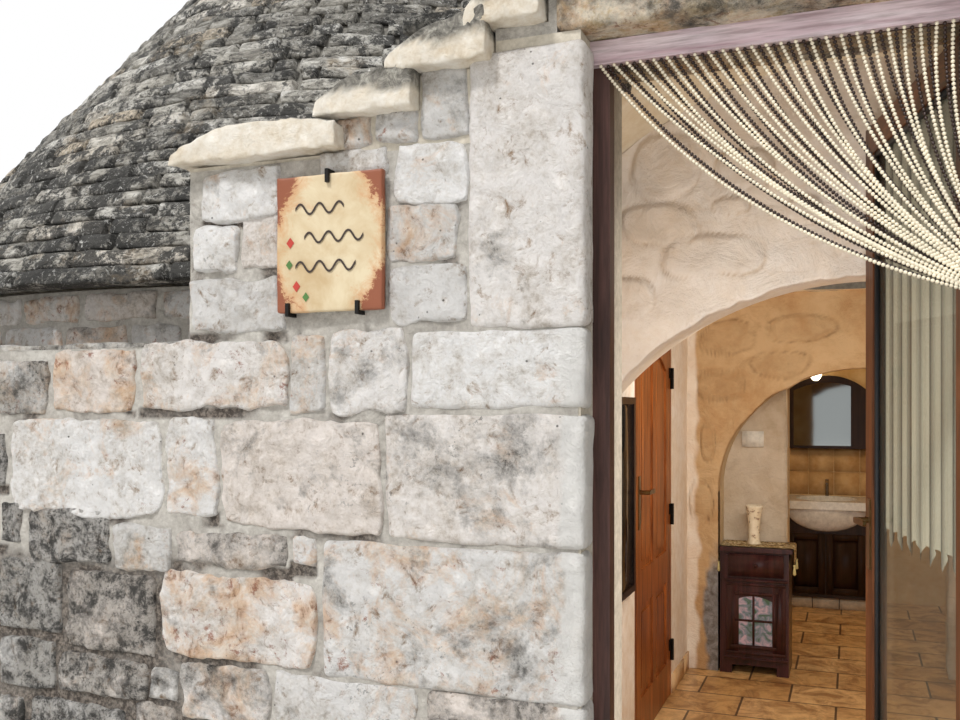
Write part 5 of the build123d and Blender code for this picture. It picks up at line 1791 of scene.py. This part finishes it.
def plaquePiece():
    low, high = nodeBox("plaque")
    half, middle = (high - low) / 2, (high + low) / 2
    points, quads = roughBlock(low, high, 0.012, 901, rounding=0.006, uneven=0.0012, size=0.05)
    across, up = (points[:, 0] - middle[0]) / half[0], (points[:, 2] - middle[2]) / half[2]
    edge = shareOf(0.26 * np.abs(across) ** 5 + 0.60 * (np.abs(across) * np.abs(up)) ** 1.6)
    piece = addPiece("plaque_tablet", [(points, quads)], plaqueGlaze(),
                     marks={"edge": [edge]})
    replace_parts(piece, "plaque")

    def onTablet(u, v):       # shares of half the width and half the height
        return pointsOf(middle[0] + np.asarray(u) * half[0], low[1] - plaque["lift"],
                        middle[2] + np.asarray(v) * half[2])

    waves = []
    for row, (a, b) in enumerate(plaque["waves"]):
        u = np.linspace(a, b, 61)
        turn = (u - a) * plaque["waveTurns"]
        v = plaque["firstWave"] - plaque["wavePitch"] * row + plaque["waveHigh"] * np.sin(turn)
        wide = 0.016 + 0.012 * np.cos(turn) ** 2
        waves.append((onTablet(u[:, None], np.stack([v - wide, v + wide], axis=1)), gridQuads(60, 1)))
    addPiece("plaque_waves", waves, plain("plaqueInk", "33231a", 0.5), smooth=False)
    for name, (code, size, spots) in plaque["lozenges"].items():
        lozenges = []
        for u, v in spots:
            points = onTablet([u - size, u, u + size, u], [v, v - size * 1.1, v, v + size * 1.1])
            lozenges.append((points, np.array([[0, 1, 2, 3]])))
        addPiece(name, lozenges, plain(name + "Glaze", code, 0.4), smooth=False)


plaquePiece()

# Finishes of the CAD pieces that keep their own shape
# roofBack: cream on faces that look down, dark grey on the others, painted shade where the slabs' joints show
# the cones behind
roofBack = facingMix("roofBack", -3, ("f2e4cc", "dcc39c"), ("8a867d", "4f4c46"))
pierFace = facingMix("pierFace", 2, ("f3e6d2", "e0c8a6"), ("cfc6b6", "9c9383"))
rightWallFace = facingMix("rightWallFace", -1, ("f3e6d2", "e0c8a6"), ("cfc6b6", "9c9383"))
backWallFace = facingMix("backWallFace", -2, ("e3c596", "cba26a"), ("cfc6b6", "9c9383"))
whiteWall = plasterFinish("whiteWall", "f8f0e6", "efdfca", 0.12)
tiledFloor = floorTiles()
keptFinishes = {
    mortar: ("gable_top", "low_front_wall", "low_left_wall", "low_back_wall", "drum_left", "drum_right"),
    pierFace: ("gable_pier_left", "gable_pier_right"),
    rightWallFace: ("wing_right_wall",),
    backWallFace: ("wing_back_wall",),
    roofBack: ("large_cone_left", "large_cone_right", "small_cone_left", "small_cone_right",
               "entrance_vault", "back_vault"),
    whiteWall: ("wing_left_wall", "partition_wall", "partition_lintel"),
    limePlaster: ("entrance_arch",),
    tanPlaster: ("alcove_arch", "alcove_infill"),
    tiledFloor: ("square_room_floor", "wing_floor"),
    slabFinish: ("threshold",),
    postWood: ("door_frame",),
    iron: ("frame_hinges", "leaf_hinges", "inner_frame_hinges", "inner_hinges", "curtain_tie",
           "plaque_pegs"),
    leafWood: ("leaf_stiles",),
    leafRailWood: ("leaf_rails",),
    glassPane(): ("leaf_glass",),
    brass: ("leaf_handles", "inner_handle"),
    innerWood: ("inner_frame", "inner_leaf"),
    railPaint: ("curtain_rail",),
    vanityWood: ("wall_mirror", "vanity", "mirror_cabinet"),
    cabinetWood: ("cabinet",),
    ceramic: ("wash_basin",),
    chrome: ("tap",),
}
for finish, names in keptFinishes.items():
    for name in names:
        data = frame["nodes"][name].data
        data.materials.clear()
        data.materials.append(finish)
print("finishes given")

# Lamps, camera and backdrop
studio = {
    "sky": (0.96, 0.98, 1.0, 1.0), "skyStrength": 0.85,
    "sunStrength": 2.5, "sunAngle": 9, "sunTurn": (36, -16, 0),
    "floorHalf": 30.0, "floorDrop": 0.002, "floorColour": "e8e6e1",
    "roomLamps": {       # place, point that it faces, width, height, watts, colour
        "entranceLamp": ((-0.14, 0.24, 1.25), (0.00, 1.20, 1.20), 0.50, 1.6, 9.0, (1.0, 0.95, 0.90)),
        "archLamp": ((0.19, 1.42, 1.88), (0.05, 2.70, 0.70), 1.0, 0.25, 15.0, (1.0, 0.95, 0.87)),
        "washLamp": ((0.19, 3.60, 2.02), (0.05, 4.95, 1.20), 0.9, 0.25, 6.0, (1.0, 0.80, 0.52)),
    },
}


def backdrop():
    world = bpy.data.worlds.new("sky")
    bpy.context.scene.world = world
    world.use_nodes = True
    tree = world.node_tree
    light = tree.nodes["Background"]
    light.inputs[0].default_value = studio["sky"]
    light.inputs[1].default_value = studio["skyStrength"]
    white = tree.nodes.new("ShaderNodeBackground")
    white.inputs[0].default_value = (1.0, 1.0, 1.0, 1.0)
    path = tree.nodes.new("ShaderNodeLightPath")
    seen = path.outputs["Is Camera Ray"]
    for kind in ("Is Glossy Ray", "Is Transmission Ray"):
        both = tree.nodes.new("ShaderNodeMath")
        both.operation = "MAXIMUM"
        tree.links.new(seen, both.inputs[0])
        tree.links.new(path.outputs[kind], both.inputs[1])
        seen = both.outputs[0]
    mixed = tree.nodes.new("ShaderNodeMixShader")
    tree.links.new(seen, mixed.inputs[0])
    tree.links.new(light.outputs[0], mixed.inputs[1])
    tree.links.new(white.outputs[0], mixed.inputs[2])
    tree.links.new(mixed.outputs[0], tree.nodes["World Output"].inputs[0])
    half = studio["floorHalf"]
    mesh = bpy.data.meshes.new("studio_floor")
    corners = ((-half, -half), (half, -half), (half, half), (-half, half))
    mesh.from_pydata([(x, y, -studio["floorDrop"]) for x, y in corners], [], [(0, 1, 2, 3)])
    paint = Finish("floorPaint", 0.8)
    paint.colour(studio["floorColour"])
    mesh.materials.append(paint.material)
    floor = bpy.data.objects.new("studio_floor", mesh)
    bpy.context.collection.objects.link(floor)


def lampsAndCamera():
    sun = bpy.data.lights.new("sun", "SUN")
    sun.energy = studio["sunStrength"]
    sun.angle = math.radians(studio["sunAngle"])
    lamp = bpy.data.objects.new("sun", sun)
    lamp.rotation_euler = [math.radians(turn) for turn in studio["sunTurn"]]
    bpy.context.collection.objects.link(lamp)
    for name, (place, target, width, height, watts, colour) in studio["roomLamps"].items():
        light = bpy.data.lights.new(name, "AREA")
        light.shape, light.size, light.size_y = "RECTANGLE", width, height
        light.energy, light.color = watts, colour
        lamp = bpy.data.objects.new(name, light)
        lamp.location = Vector(np.array(place) + shift)
        lamp.rotation_euler = (Vector(target) - Vector(place)).to_track_quat("-Z", "Y").to_euler()
        lamp.visible_camera = lamp.visible_glossy = lamp.visible_transmission = False
        bpy.context.collection.objects.link(lamp)
    camera = bpy.data.cameras.new("camera")
    camera.sensor_width = view["filmWidth"]
    camera.lens = view["filmWidth"] * view["focal"] / view["imageWidth"]
    camera.shift_y = (view["horizonRow"] - view["middleRow"]) / view["imageWidth"]
    holder = bpy.data.objects.new("camera", camera)
    holder.location = Vector(np.array(view["place"]) + shift)
    holder.rotation_euler = (math.pi / 2, 0, view["turnLeft"])
    bpy.context.collection.objects.link(holder)
    bpy.context.scene.camera = holder


backdrop()
lampsAndCamera()
print("lamps and camera placed")
bpy.context.scene.view_settings.view_transform = "Standard"
